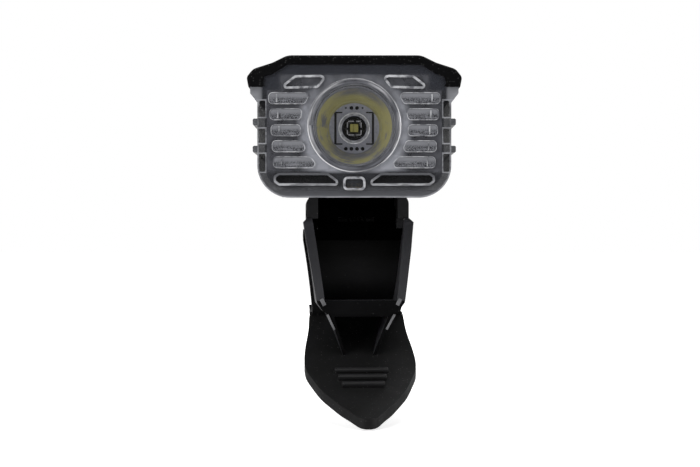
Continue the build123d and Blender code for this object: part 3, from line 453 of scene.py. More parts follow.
# %% Places on the front of the shell
shell_low, shell_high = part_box("body_shell")
board_low, board_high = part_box("led_board")
FACE = shell_low.y
LENS_RISE = (board_low.z + board_high.z) / 2
LENS_UP = (LENS_RISE - shell_low.z) / MM
WINDOW_RADIUS = 11.5  # millimetres, as all places on the shell below
print("front face", round(FACE, 5), "lens height", round(LENS_RISE, 5))


def shell_places(finish):
    """Places in millimetres, and the two noises that several layers share."""
    across, depth, rise = finish.coordinates()
    out = finish.times(finish.maths("ABSOLUTE", across), 1 / MM)
    up = finish.millimetres(rise, shell_low.z)
    over = finish.maths("SUBTRACT", up, LENS_UP)
    streak_place = finish.node("ShaderNodeMapping")
    finish.join(finish.point, streak_place.inputs["Vector"])
    streak_place.inputs["Scale"].default_value = (0.35, 1.0, 1.6)
    return SimpleNamespace(
        out=out,
        up=up,
        beside=finish.times(across, 1 / MM),
        over=over,
        ring=finish.length(out, over),
        sunk=finish.millimetres(depth, FACE),
        cloud=finish.spread(finish.noise(3.5 * MM, 4), 0.3, 0.7),
        streaks=finish.noise(1.1 * MM, 4, streak_place.outputs["Vector"]),
    )


# %% Layer 1: the web between the bars, paler round the lens's ring and over the slots
SMOKE_DARK = (0.052, 0.053, 0.061)
SMOKE_CLOUD = (0.098, 0.100, 0.113)
WEB_PALE = (0.37, 0.38, 0.42)
SIDE_STRIP = (0.026, 0.027, 0.031)


def web(finish, at):
    tone = finish.blend(at.cloud, SMOKE_DARK, SMOKE_CLOUD)
    near_ring = finish.band(at.ring, 12.0, 15.6, 0.9)
    near_ring = finish.times(near_ring, finish.spread(at.up, 25, 34, 1, 0.15))
    near_ring = finish.times(near_ring, finish.spread(at.cloud, 0, 1, 0.6, 1.0))
    over_slots = finish.times(
        finish.band(at.up, 7.5, 12.4, 0.6), finish.band(at.out, 6.0, 13.4, 1.6)
    )
    tone = finish.blend(finish.most(near_ring, over_slots), tone, WEB_PALE)
    return finish.blend(finish.spread(at.out, 24.2, 24.5), tone, SIDE_STRIP)


# %% Layer 2: the roof's painted shade, the pale shoulders under the wings, and the foot, with a painted highlight along its lower edge
ROOF_SHADE = (0.030, 0.032, 0.040)
SHOULDER_GREY = (0.20, 0.205, 0.22)
FOOT_DARK, FOOT_EDGE_HIGHLIGHT = (0.034, 0.035, 0.040), (0.100, 0.102, 0.112)


def roof_and_foot(finish, at, tone):
    under_roof = finish.spread(at.up, 33.9, 34.6)
    under_wing = finish.times(finish.spread(at.out, 20.2, 21.4), finish.spread(at.up, 29.6, 30.3))
    tone = finish.blend(finish.most(under_roof, under_wing), tone, ROOF_SHADE)
    shoulder = finish.times(finish.spread(at.out, 25.4, 26.2), finish.band(at.up, 25.6, 40.0, 0.5))
    tone = finish.blend(shoulder, tone, SHOULDER_GREY)
    foot = finish.blend(finish.spread(at.up, 0.3, 3.4, 1, 0), FOOT_DARK, FOOT_EDGE_HIGHLIGHT)
    return finish.blend(finish.spread(at.up, 6.6, 7.6, 1, 0), tone, foot)


# %% Layer 3: painted highlights along the face's edge and round the three pockets in each side
CORNER_OUT, CORNER_UP = 18.0, 9.0
SIDE_POCKETS = ((22.45, 27.0), (15.2, 19.2), (7.2, 12.2))
POCKET_IN, POCKET_OUT = 24.45, 27.5
LINE_WIDTH, LINE_SOFT = 0.35, 0.08
OUTLINE_HIGHLIGHT = (0.33, 0.335, 0.36)


def outline_highlights(finish, at, tone):
    past_side = finish.most(finish.maths("SUBTRACT", at.out, CORNER_OUT), 0.0)
    past_foot = finish.most(finish.maths("SUBTRACT", CORNER_UP, at.up), 0.0)
    line = finish.spread(finish.length(past_side, past_foot), 8.45, 8.75)
    line = finish.times(line, finish.spread(at.up, 12.0, 20.0, 1, 0.35))
    for low, high in SIDE_POCKETS:
        whole = finish.times(
            finish.band(at.out, POCKET_IN, POCKET_OUT, LINE_SOFT),
            finish.band(at.up, low - LINE_WIDTH, high + LINE_WIDTH, LINE_SOFT),
        )
        hollow = finish.times(
            finish.band(at.out, POCKET_IN + LINE_WIDTH, POCKET_OUT, LINE_SOFT),
            finish.band(at.up, low, high, LINE_SOFT),
        )
        line = finish.most(line, finish.maths("SUBTRACT", whole, hollow))
    line = finish.times(line, finish.spread(at.up, 29.0, 30.0, 1, 0))
    line = finish.times(line, finish.spread(at.streaks, 0.38, 0.62, 0.45, 0.90))
    return finish.blend(line, tone, OUTLINE_HIGHLIGHT)


# %% Layer 4: the middles of the bars, pale glass in the upper half, dark and gritty below
BAR_PITCH = 4.45
TOP_BAR_UP = 27.6
BARS_IN_A_ROW = 5
GRIT_DARK, GRIT_PALE = (0.030, 0.030, 0.034), (0.21, 0.214, 0.235)
BAR_PALE = (0.225, 0.230, 0.250)


def bar_middles(finish, at, tone):
    grit = finish.spread(finish.noise(0.28 * MM, 2), 0.40, 0.64)
    gritty = finish.blend(grit, GRIT_DARK, GRIT_PALE)
    start = TOP_BAR_UP - BAR_PITCH / 2 - BAR_PITCH * BARS_IN_A_ROW
    bars_up = finish.maths("DIVIDE", finish.maths("SUBTRACT", at.up, start), BAR_PITCH)
    upper_half = finish.spread(finish.maths("FRACT", bars_up), 0.44, 0.64)
    pale = finish.most(upper_half, finish.spread(at.streaks, 0.50, 0.66, 0, 0.8))
    bar_tone = finish.blend(pale, gritty, BAR_PALE)
    return finish.blend(finish.band(at.sunk, 0.17, 0.45, 0.05), tone, bar_tone)


# %% Layer 5: painted highlights on the raised rims, brightest at the foot of the two slots
RIM_DULL, RIM_HIGHLIGHT = (0.14, 0.143, 0.158), (0.58, 0.585, 0.61)
SLOT_RIM_FOOT_HIGHLIGHT, SLOT_RIM_HIGH = (0.46, 0.465, 0.49), (0.10, 0.102, 0.112)
SLOT_RIM_DULL = (0.11, 0.112, 0.122)


def raised_rims(finish, at, tone):
    glassy = finish.spread(finish.noise(1.7 * MM, 3), 0.36, 0.64)
    rim = finish.blend(glassy, RIM_DULL, RIM_HIGHLIGHT)
    slot_rim = finish.blend(finish.spread(at.up, 3.7, 6.2), SLOT_RIM_FOOT_HIGHLIGHT, SLOT_RIM_HIGH)
    dull = finish.times(finish.spread(at.streaks, 0.42, 0.62, 1, 0), 0.75)
    slot_rim = finish.blend(dull, slot_rim, SLOT_RIM_DULL)
    at_slots = finish.times(finish.spread(at.up, 7.0, 7.3, 1, 0), finish.spread(at.out, 3.2, 3.6))
    rim = finish.blend(at_slots, rim, slot_rim)
    return finish.blend(finish.spread(at.sunk, 0.06, 0.14, 1, 0), tone, rim)


# %% Layer 6: the flat of the lens's ring, with strokes that run round it and broken arcs of painted highlight
RING_DARK, RING_PALE = (0.045, 0.046, 0.053), (0.150, 0.153, 0.172)
ARC_HIGHLIGHT = (0.46, 0.46, 0.48)
# Each arc's direction, in degrees from the right, and how narrow it is
HIGHLIGHT_ARCS = ((180, 0.74), (128, 0.90), (52, 0.93), (-8, 0.90))


def ring_flat(finish, at, tone):
    strokes = finish.circling(at.beside, at.over, 2.0, 1.6)
    flat = finish.blend(finish.spread(strokes, 0.32, 0.68), RING_DARK, RING_PALE)
    turn = finish.maths("ARCTAN2", at.over, at.beside)
    arc_highlights = 0.0
    for middle, narrow in HIGHLIGHT_ARCS:
        arc = finish.spread(finish.towards(turn, middle), narrow, narrow + 0.07)
        arc_highlights = finish.most(arc_highlights, arc)
    arc_highlights = finish.times(arc_highlights, finish.band(at.ring, 12.0, 12.9, 0.3))
    arc_highlights = finish.times(arc_highlights, finish.spread(strokes, 0.40, 0.62, 0.25, 1.0))
    flat = finish.blend(arc_highlights, flat, ARC_HIGHLIGHT)
    return finish.blend(finish.band(at.ring, 11.0, 12.80, 0.05), tone, flat)


# %% Layer 7: painted shade in the deep slots, nearly black and darker towards the top, and one dark, even smoke behind the face
PIT_SHADE_LOW, PIT_SHADE_HIGH = (0.020, 0.020, 0.022), (0.004, 0.004, 0.0045)
SIDE_DARK, SIDE_PALE = (0.066, 0.068, 0.078), (0.078, 0.081, 0.093)


def depths(finish, at, tone):
    pit_shade = finish.blend(finish.spread(at.up, 3.6, 6.6), PIT_SHADE_LOW, PIT_SHADE_HIGH)
    tone = finish.blend(finish.spread(at.sunk, 1.25, 1.6), tone, pit_shade)
    sides = finish.blend(at.cloud, SIDE_DARK, SIDE_PALE)
    return finish.blend(finish.spread(at.sunk, 2.1, 2.8), tone, sides)


# %% The shell's finish: all layers, and clear only in the round window
FACE_ALPHA, SIDE_ALPHA, WINDOW_CLEARS = 0.86, 0.80, 0.84


def smoky_shell():
    finish = Finish("shell_smoke", SMOKE_DARK, 0.12, IOR=1.49)
    at = shell_places(finish)
    tone = web(finish, at)
    for layer in (roof_and_foot, outline_highlights, bar_middles, raised_rims, ring_flat, depths):
        tone = layer(finish, at, tone)
    finish.colour(tone)
    in_front = finish.maths("LESS_THAN", at.sunk, 3.4)
    inside = finish.spread(at.ring, WINDOW_RADIUS - 0.3, WINDOW_RADIUS, 1, 0)
    smoke = finish.spread(at.sunk, 2.6, 5.0, FACE_ALPHA, SIDE_ALPHA)
    clear = finish.times(finish.times(in_front, inside), WINDOW_CLEARS)
    finish.join(finish.maths("SUBTRACT", smoke, clear), finish.shader.inputs["Alpha"])
    finish.roughness(finish.spread(at.streaks, 0.3, 0.7, 0.08, 0.20))
    finish.bump(finish.noise(1.6 * MM, 3), 0.05 * MM, 0.5)
    return finish.material


shell_smoke = smoky_shell()
print("shell finish nodes", len(shell_smoke.node_tree.nodes))

# %% [markdown]
# ### Small finishes for what is inside
# Screws, springs and sockets are brushed metal: a metallic shader whose tone and gloss follow the
# same streaks. Boards, sleeves and collars are plain plastic or paint. What lies under the real
# lens is lit by it. The lens here is clear and doesn't bend light, so those finishes give off a
# little light of their own.


# %% Recipes for metal and for plain mouldings
def metal(name, colour, roughness, brushed=0.6):
    finish = Finish(name, colour, roughness, Metallic=1.0)
    streaks = finish.noise(brushed * MM, 4)
    shade = tuple(c * 0.8 for c in colour)
    finish.colour(finish.blend(finish.spread(streaks, 0.3, 0.7), shade, colour))
    finish.roughness(finish.spread(streaks, 0.3, 0.7, roughness - 0.06, roughness + 0.1))
    return finish.material


def moulded(name, colour, roughness, size=1.2, vary=0.85, alpha=1.0, lit=0.0):
    """Plain plastic or paint; lit adds the light that a lens brings to it."""
    finish = Finish(name, colour, roughness, Alpha=alpha, Emission_Strength=lit)
    cloud = finish.noise(size * MM, 3)
    shade = tuple(c * vary for c in colour)
    tone = finish.blend(finish.spread(cloud, 0.3, 0.7), shade, colour)
    finish.colour(tone)
    if lit:
        finish.join(tone, finish.shader.inputs["Emission Color"])
    finish.bump(cloud, 0.01 * MM, 0.3)
    return finish.material


# %% Inner finishes
steel = metal("screw_steel", (0.45, 0.45, 0.46), 0.32)
nickel = metal("nickel", (0.62, 0.60, 0.55), 0.30)
aluminium = metal("sink_aluminium", (0.62, 0.62, 0.64), 0.38)
brass = metal("insert_brass", (0.70, 0.52, 0.24), 0.30)
# The spring and the pin are black steel, made darker still as painted shade, because they lie in
# the clip's dark hollow
spring_black = metal("spring_black", (0.0010, 0.0010, 0.0011), 0.85)
pin_dark_shaded = metal("pin_dark_shaded", (0.0014, 0.0014, 0.0015), 0.8)
board_grey = moulded("board_grey", (0.25, 0.257, 0.30), 0.4, 0.5, 0.8, lit=0.30)
track_black = moulded("track_black", (0.004, 0.004, 0.0045), 0.5)
hole_shade_black = moulded("hole_shade_black", (0.001, 0.001, 0.001), 0.7)
collar_white = moulded("collar_white", (0.42, 0.424, 0.455), 0.30, 1.1, 0.30, lit=0.36)
collar_glint = moulded("collar_glint", (0.66, 0.665, 0.69), 0.20, 0.9, 0.35, lit=0.5)
led_ceramic = moulded("led_ceramic", (0.050, 0.049, 0.050), 0.35, 0.5)
led_edge = moulded("led_edge", (0.30, 0.30, 0.32), 0.3, 0.3, 0.6, lit=0.5)
phosphor = moulded("phosphor", (0.24, 0.222, 0.075), 0.6, 0.25, 0.75, lit=0.75)
lamp_dark = moulded("lamp_dark", (0.016, 0.015, 0.016), 0.25, 0.5, 0.5)
cell_wrap = moulded("cell_wrap", (0.10, 0.24, 0.36), 0.35)
circuit_green = moulded("circuit_green", (0.02, 0.11, 0.05), 0.35, 0.6)
clear_lens = moulded("clear_lens", (0.05, 0.052, 0.055), 0.04, 3.0, 0.95, alpha=0.03)
guide_clear = moulded("guide_clear", (0.30, 0.32, 0.36), 0.2, 0.5)
print("inner finishes made")

# %% [markdown]
# ### Olive ring and lens bezel
# The yellow ring is the side of the optic, which mirrors the lamp's phosphor. Its turning marks
# run round it, so the noise is read from turn and radius instead of from X and Z. Under the board
# the mirror shows the board's grey rim, and at the top the shell's edge. The bezel round the
# window is smoke with the same kind of strokes, and its pale lip carries painted highlights.

# %% Finish of the mirrored ring
OLIVE_DARK, OLIVE_PALE = (0.182, 0.168, 0.066), (0.222, 0.206, 0.090)
MIRRORED_GREY = (0.092, 0.092, 0.100)
RING_SMOKE = (0.085, 0.087, 0.098)


def olive_ring():
    # The ring also glows a little, as the lit phosphor's painted reflection
    finish = Finish("olive_ring", (0.19, 0.17, 0.08), 0.3, Emission_Strength=0.45)
    lens = finish.around_lens()
    strokes = finish.circling(lens.beside, lens.above, 2.6, 2.4)
    patches = finish.circling(lens.beside, lens.above, 1.1, 0.5)
    upwards = finish.towards(lens.turn, 78)
    # Loose grey streaks, more of them below
    grey = finish.maths("ADD", finish.maths("ADD", strokes, patches), finish.times(upwards, -0.13))
    grey = finish.spread(grey, 1.09, 1.17)
    low = finish.spread(finish.towards(lens.turn, -90), 0.38, 0.76)
    low = finish.times(low, finish.spread(lens.radius, 8.9, 9.6, 1, 0))
    top = finish.times(finish.spread(upwards, 0.60, 0.92), finish.spread(lens.radius, 8.8, 9.7))
    mirrored = finish.times(finish.most(low, top), finish.spread(strokes, 0.36, 0.56, 0.55, 1))
    olive = finish.blend(finish.spread(strokes, 0.3, 0.7), OLIVE_DARK, OLIVE_PALE)
    tone = finish.blend(finish.most(grey, mirrored), olive, MIRRORED_GREY)
    # In front of the optic the ring goes on as grey smoke
    tone = finish.blend(finish.spread(lens.radius, 10.50, 10.62), tone, RING_SMOKE)
    finish.colour(tone)
    finish.join(tone, finish.shader.inputs["Emission Color"])
    return finish.material


ring_olive = olive_ring()

# %% Finish of the bezel
BEZEL_DARK, BEZEL_PALE = (0.034, 0.035, 0.040), (0.150, 0.153, 0.170)
LIP_DULL, LIP_HIGHLIGHT = (0.12, 0.122, 0.135), (0.72, 0.72, 0.74)


def bezel_finish():
    """Grey smoke with strokes round the ring; the lip carries painted highlights, brightest at the
    lower left and right.
    """
    finish = Finish("bezel_smoke", (0.10, 0.103, 0.115), 0.10, IOR=1.49)
    lens = finish.around_lens()
    strokes = finish.circling(lens.beside, lens.above, 2.2, 1.5)
    tone = finish.blend(finish.spread(strokes, 0.32, 0.68), BEZEL_DARK, BEZEL_PALE)
    lower_left = finish.spread(finish.towards(lens.turn, 218), 0.55, 0.95)
    right = finish.spread(finish.towards(lens.turn, -12), 0.72, 0.95)
    sparkle = finish.spread(strokes, 0.45, 0.65, 0.05, 0.35)
    bright = finish.maths("ADD", finish.most(lower_left, right), sparkle)
    lip_tone = finish.blend(bright, LIP_DULL, LIP_HIGHLIGHT)
    finish.colour(finish.blend(finish.spread(lens.radius, 12.72, 12.84), tone, lip_tone))
    finish.roughness(finish.spread(strokes, 0.3, 0.7, 0.06, 0.18))
    return finish.material


bezel_smoke = bezel_finish()
print("ring and bezel finishes made")

# %% [markdown]
# ## Mouldings with rounded edges
# The frame's solids have sharp edges. A copy of the mesh is cleaned into flat faces, bevelled by
# a modifier and shaded with weighted normals, so that each flat stays flat and each edge carries
# a thin highlight. It rides the same body and replaces the frame's node. Rounding the edges in
# the solids would do it too, but it would cost many more faces there.

# %% Helpers for meshes
WELD = 0.002 * MM
FLAT_ANGLE = 0.6  # degrees


def flat_faced_copy(node, cuts=()):
    """A bmesh of a frame node with its triangles joined into the flat faces they came from.

    A flat face with another shape standing in its middle can't be one polygon, so cuts gives depths
    at which such faces are divided.
    """
    work = bmesh.new()
    work.from_mesh(frame["nodes"][node].data)
    bmesh.ops.remove_doubles(work, verts=work.verts, dist=WELD)
    for depth in cuts:
        everything = work.verts[:] + work.edges[:] + work.faces[:]
        cut = bmesh.ops.bisect_plane(
            work, geom=everything, dist=WELD / 2, plane_co=(0, depth, 0), plane_no=(0, 1, 0)
        )
        for part in cut["geom_cut"]:
            if isinstance(part, bmesh.types.BMEdge):
                part.seam = True
    bmesh.ops.dissolve_limit(
        work,
        angle_limit=radians(FLAT_ANGLE),
        verts=work.verts,
        edges=work.edges,
        delimit={"SEAM"},
    )
    return work


def mesh_object(name, work, materials, smooth=True):
    """An object from a bmesh, which is freed."""
    mesh = bpy.data.meshes.new(name)
    work.to_mesh(mesh)
    work.free()
    for polygon in mesh.polygons:
        polygon.use_smooth = smooth
    for material in materials:
        mesh.materials.append(material)
    return add_object(name, mesh)


def place_piece(name, work, materials, body, stands_for=None, smooth=True):
    """A piece with its finishes, which rides with its body."""
    piece = mesh_object(name, work, materials, smooth)
    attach(piece, body)
    if stands_for:
        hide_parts(stands_for)
    return piece


def round_edges(piece, width, segments=2, limit=32):
    """Rounds the edges that turn by more than a limit, in degrees."""
    bevel = piece.modifiers.new("edges", "BEVEL")
    bevel.width = width
    bevel.segments = segments
    bevel.limit_method = "ANGLE"
    bevel.angle_limit = radians(limit)
    bevel.use_clamp_overlap = True
    bevel.miter_outer = "MITER_ARC"
    weigh = piece.modifiers.new("flats", "WEIGHTED_NORMAL")
    weigh.keep_sharp = False
    weigh.weight = 80


# %% Mouldings and turned pieces
def moulding(node, material, width, segments=2, limit=32, patches=()):
    """A frame node as a finished moulding, with other finishes on some of its faces."""
    work = flat_faced_copy(node)
    materials = [material]
    for patch_material, belongs in patches:
        for face in work.faces:
            if belongs(face.calc_center_median() / MM):
                face.material_index = len(materials)
        materials.append(patch_material)
    body = frame["nodes"][node]["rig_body"]
    piece = place_piece(node + "_moulded", work, materials, body, node)
    round_edges(piece, width, segments, limit)


def lathe(name, outline, centre, material, body, steps=96):
    """Turns an outline of (radius, depth) about an axis along Y through a centre."""
    work = bmesh.new()
    rings = []
    for step in range(steps):
        turn = tau * step / steps
        spots = [(centre[0] + r * cos(turn), y, centre[1] + r * sin(turn)) for r, y in outline]
        rings.append([work.verts.new(spot) for spot in spots])
    for step in range(steps):
        here, there = rings[step], rings[(step + 1) % steps]
        for n in range(len(outline)):
            m = (n + 1) % len(outline)
            work.faces.new((here[n], there[n], there[m], here[m]))
    bmesh.ops.recalc_face_normals(work, faces=work.faces)
    return place_piece(name, work, [material], body)


def block_outline(inner, outer, front, back):
    """Outline of a plain turned ring, from its two radii and its two depths."""
    return [(inner, front), (outer, front), (outer, back), (inner, back)]


print("mesh helpers ready")

# %% [markdown]
# ### Body shell
# In the photograph each of the ten bars on the face shows a bright rim round a duller middle.
# Each bar's front face is found in the mesh by its size, inset, and pushed in a little, so that a
# rim stays, which the shell's finish paints as a highlight. The side walls are cut at the ends of
# the fins, because a wall with fins in its middle isn't one polygon.

# %% Shell with dished bars
BAR_RIM = 0.50 * MM
BAR_DISH = 0.28 * MM
BAR_HEIGHTS = (2.5 * MM, 4 * MM)
BAR_LENGTH = 4 * MM
BAR_FILL = 0.82
FIN_START, FIN_END = FACE + 2.8 * MM, shell_high.y - 2.0 * MM
shell_work = flat_faced_copy("body_shell", (FIN_START, FIN_END))
bars = []
bar_boxes = []
for face in shell_work.faces:
    if face.normal.y < -0.99 and abs(face.calc_center_median().y - FACE) < 0.05 * MM:
        xs = [v.co.x for v in face.verts]
        zs = [v.co.z for v in face.verts]
        wide, tall = max(xs) - min(xs), max(zs) - min(zs)
        full = face.calc_area() > BAR_FILL * wide * tall
        if full and BAR_HEIGHTS[0] < tall < BAR_HEIGHTS[1] and wide > BAR_LENGTH:
            bars.append(face)
            bar_boxes.append((min(xs), max(xs), min(zs), max(zs)))
bmesh.ops.inset_individual(
    shell_work, faces=bars, thickness=BAR_RIM, depth=0.0, use_even_offset=True
)
for face in bars:
    for vertex in face.verts:
        vertex.co.y += BAR_DISH
shell = place_piece(
    "body_shell_moulded", shell_work, [shell_smoke], "light", "body_shell"
)
round_edges(shell, 0.16 * MM, 2, 30)
print("bars found", len(bars))

# %% [markdown]
# ### Lens bezel
# A thin ring with a raised lip frames the clear window. It is a turned form, so an outline is
# spun round the optic's axis: pairs of radius and distance behind the face, in millimetres.

# %% Bezel
OPTIC_AXIS = (0.0, LENS_RISE)
BEZEL_POINTS = (
    (13.12, 0.85),
    (13.10, 0.10),
    (13.00, -0.04),
    (12.82, -0.04),
    (12.72, 0.12),
    (12.50, 0.22),
    (11.45, 0.22),
    (11.42, -0.02),
    (11.28, -0.02),
    (11.20, 0.20),
    (11.02, 0.90),
    (10.98, 1.42),
    (12.60, 1.42),
)
bezel_outline = [(radius * MM, FACE + behind * MM) for radius, behind in BEZEL_POINTS]
lathe("lens_bezel", bezel_outline, OPTIC_AXIS, bezel_smoke, "light", 128)
print("bezel made")

# %% [markdown]
# ### Black mouldings
# The cover, the clip's base, the lever's two pieces and the rubber parts keep the frame's shapes.
# Some faces get their own black. The pocket in the base and the faces near the lever's pin are
# painted shade, nearly black. The lever's cross lip and the curved wall between its cheeks are
# darker than the rest, and the wall's painted shade turns near black towards the top. Small tests
# on a face's middle choose them.


# %% Which faces are darker, by place in millimetres
def in_pocket(place):
    """Inside the clip base, between its two front walls."""
    return abs(place.x) < 12.3 and place.y < -4.0


def on_lip(place):
    return place.y < -20.0 and place.z < -9.0 and abs(place.x) < 8.0


def on_wall(place):
    return place.z > -9.5 and place.y > -17.0


def near_pin(place):
    return place.z > 8.0 and place.y > -17.0 and abs(place.x) < 12.0


# %% Mouldings
moulding("top_cover", cover_black, 0.35 * MM, 3)
moulding("clip_base", clip_black, 0.35 * MM, 2, patches=[(painted_shade_black, in_pocket)])
moulding("lever_brace", brace_black, 0.40 * MM, 3, patches=[(lip_black, on_lip)])
arm_patches = [(wall_shaded_black, on_wall), (painted_shade_black, near_pin)]
moulding("lever_arm", paddle_black, 0.45 * MM, 3, patches=arm_patches)
moulding("power_button", rubber_black, 0.25 * MM, 2, 45)
moulding("usb_cover", rubber_black, 0.2 * MM, 2, 45)
moulding("usb_cover_anchor", rubber_black, 0.2 * MM, 2, 45)
print("mouldings made")

# %% [markdown]
# ## Inside the light
# The optic is clear, so its outline only shows as glints. What the eye sees as a yellow ring is
# its side, which mirrors the phosphor: here it is a thin funnel just outside the optic. Behind
# the middle lies the board with the lamp, a pale collar and two rows of holes.

# %% Ring that mirrors the phosphor
MOUTH = FACE + 1.40 * MM
optic_low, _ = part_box("tir_optic")
funnel_front = optic_low.y + 1.25 * MM
funnel_back = board_low.y - 0.02 * MM


def funnel_depth(share):
    return funnel_front + share * (funnel_back - funnel_front)


funnel_outline = [
    (10.97 * MM, MOUTH),
    (10.62 * MM, funnel_front),
    (9.25 * MM, funnel_depth(0.42)),
    (7.95 * MM, funnel_depth(0.82)),
    (7.20 * MM, funnel_back),
    (7.40 * MM, funnel_back),
    (8.15 * MM, funnel_depth(0.82)),
    (9.45 * MM, funnel_depth(0.42)),
    (10.85 * MM, funnel_front),
    (11.10 * MM, MOUTH),
]
lathe("optic_side", funnel_outline, OPTIC_AXIS, ring_olive, "light", 96)
print("funnel from", round(MOUTH, 5), "to", round(funnel_back, 5))

# %% [markdown]
# ### Board details
# A dark pad lies inside the collar, a broken square of tracks runs round it, a pale line follows
# the collar's edge, and the holes get painted shade: dark discs at their bottoms. A node tree could
# paint them on, but thin pieces on the board and in its holes are simpler to place and have sharp
# edges.

# %% Dark pad inside the collar, and the broken square of tracks round it
BOARD_FACE = board_low.y
TINY = 0.01 * MM
pad_outline = block_outline(2 * TINY, 3.5 * MM, BOARD_FACE - 0.08 * MM, BOARD_FACE)
lathe("lamp_pad", pad_outline, OPTIC_AXIS, lamp_dark, "light", 64)


def slab(work, centre, size):
    """A small box into a bmesh, for tracks and the like."""
    for vertex in bmesh.ops.create_cube(work, size=1.0)["verts"]:
        vertex.co = Vector(centre) + Vector([vertex.co[n] * size[n] for n in range(3)])


TRACK_HALF_X = 5.37 * MM
TRACK_HALF_Z = 4.50 * MM
TRACK_WIDTH = 0.65 * MM
CORNER_WIDTH = 0.42 * MM
CORNER_LENGTH = 2.00 * MM
TRACK_THICK = 0.06 * MM
tracks = bmesh.new()
track_depth = BOARD_FACE - TRACK_THICK / 2
for side in (-1, 1):
    upright = (TRACK_WIDTH, TRACK_THICK, 2 * TRACK_HALF_Z)
    slab(tracks, (side * TRACK_HALF_X, track_depth, LENS_RISE), upright)
    middle = side * (TRACK_HALF_X - CORNER_LENGTH / 2)
    corner = (CORNER_LENGTH, TRACK_THICK, CORNER_WIDTH)
    for end in (-1, 1):
        slab(tracks, (middle, track_depth, LENS_RISE + end * TRACK_HALF_Z), corner)
place_piece("board_tracks", tracks, [track_black], "light", smooth=False)
print("tracks made")

# %% Pale line round the lamp's collar
COLLAR_LINE_PROUD = 0.16 * MM
collar_line = [
    (4.22 * MM, BOARD_FACE - COLLAR_LINE_PROUD),
    (4.44 * MM, BOARD_FACE - COLLAR_LINE_PROUD),
    (4.50 * MM, BOARD_FACE),
    (4.18 * MM, BOARD_FACE),
]
lathe("collar_line", collar_line, OPTIC_AXIS, collar_glint, "light", 64)
print("collar line made")

# %% Painted shade in the board's holes: dark discs at their bottoms; the two outer holes of the upper row are narrowed by rings
HOLE_RISE = 5.85 * MM
HOLE_PITCH = 1.6 * MM
HOLE_RADIUS = 0.54 * MM
SMALL_HOLE_RADIUS = 0.27 * MM
HOLES_IN_A_ROW = 4
bottom = block_outline(TINY, HOLE_RADIUS, BOARD_FACE + 0.5 * MM, BOARD_FACE + 0.6 * MM)
narrowing = block_outline(SMALL_HOLE_RADIUS, HOLE_RADIUS, BOARD_FACE, BOARD_FACE + 0.4 * MM)
for row in (-1, 1):
    for number in range(HOLES_IN_A_ROW):
        across = (number - (HOLES_IN_A_ROW - 1) / 2) * HOLE_PITCH
        centre = (across, LENS_RISE + row * HOLE_RISE)
        name = f"hole_shade_{row + 1}_{number}"
        lathe(name, bottom, centre, hole_shade_black, "light", 24)
        if row == 1 and number in (0, HOLES_IN_A_ROW - 1):
            lathe(f"hole_ring_{number}", narrowing, centre, board_grey, "light", 24)
print("holes", 2 * HOLES_IN_A_ROW)

# %% Pale edges of the lamp's carrier, broken at its corners
EDGE_WIDTH = 0.26 * MM
EDGE_THICK = 0.10 * MM
EDGE_RUNS = ((-0.95, -0.30), (0.05, 0.85))
package_low, package_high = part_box("led_package")
edges = bmesh.new()
half_edge = (package_high.x - package_low.x) / 2 + 0.10 * MM
for side in (-1, 1):
    for start, end in EDGE_RUNS:
        middle, span = (start + end) / 2 * half_edge, (end - start) * half_edge
        upright = (side * half_edge, package_low.y, LENS_RISE + middle)
        lying = (-middle, package_low.y, LENS_RISE + side * half_edge)
        slab(edges, upright, (EDGE_WIDTH, EDGE_THICK, span))
        slab(edges, lying, (span, EDGE_THICK, EDGE_WIDTH))
place_piece("lamp_edges", edges, [led_edge], "light", smooth=False)
print("lamp edges made")

# %% Ribs across the outer ends of the bars
RIB_WIDTH = 0.34 * MM
RIB_FROM_END = 2.3 * MM
ribs = bmesh.new()
for low_x, high_x, low_z, high_z in bar_boxes:
    side = 1 if high_x > 0 else -1
    outer = max(abs(low_x), abs(high_x)) - RIB_FROM_END
    rib_place = (side * outer, FACE + BAR_DISH / 2, (low_z + high_z) / 2)
    slab(ribs, rib_place, (RIB_WIDTH, BAR_DISH, high_z - low_z - 2 * BAR_RIM))
place_piece("bar_ribs", ribs, [shell_smoke], "light", smooth=False)
print("ribs", len(bar_boxes))

# %% [markdown]
# ## Small things on the clip
# The thumb paddle has three rounded ridges. Their places are found by casting a ray straight down
# onto the paddle, so that each one sits on the real surface. The clip is turned 4.5 degrees with
# the handlebar, so these pieces are set out square to it, in millimetres, and then turned.

# %% Bars that are turned with the clip
CLIP_TURN = Matrix.Rotation(radians(4.5), 3, "Z")


def turned_bar(work, centre, size, along, up):
    """A box with its length in one direction and its top towards another, turned with the clip."""
    first = Vector(along).normalized()
    third = (Vector(up) - first * first.dot(Vector(up))).normalized()
    second = third.cross(first)
    for vertex in bmesh.ops.create_cube(work, size=1.0)["verts"]:
        offset = first * vertex.co.x * size[0]
        offset = offset + second * vertex.co.y * size[1] + third * vertex.co.z * size[2]
        vertex.co = CLIP_TURN @ ((Vector(centre) + offset) * MM)


def bar_piece(name, work, material, body, width):
    piece = place_piece(name, work, [material], body)
    round_edges(piece, width, 3, 40)


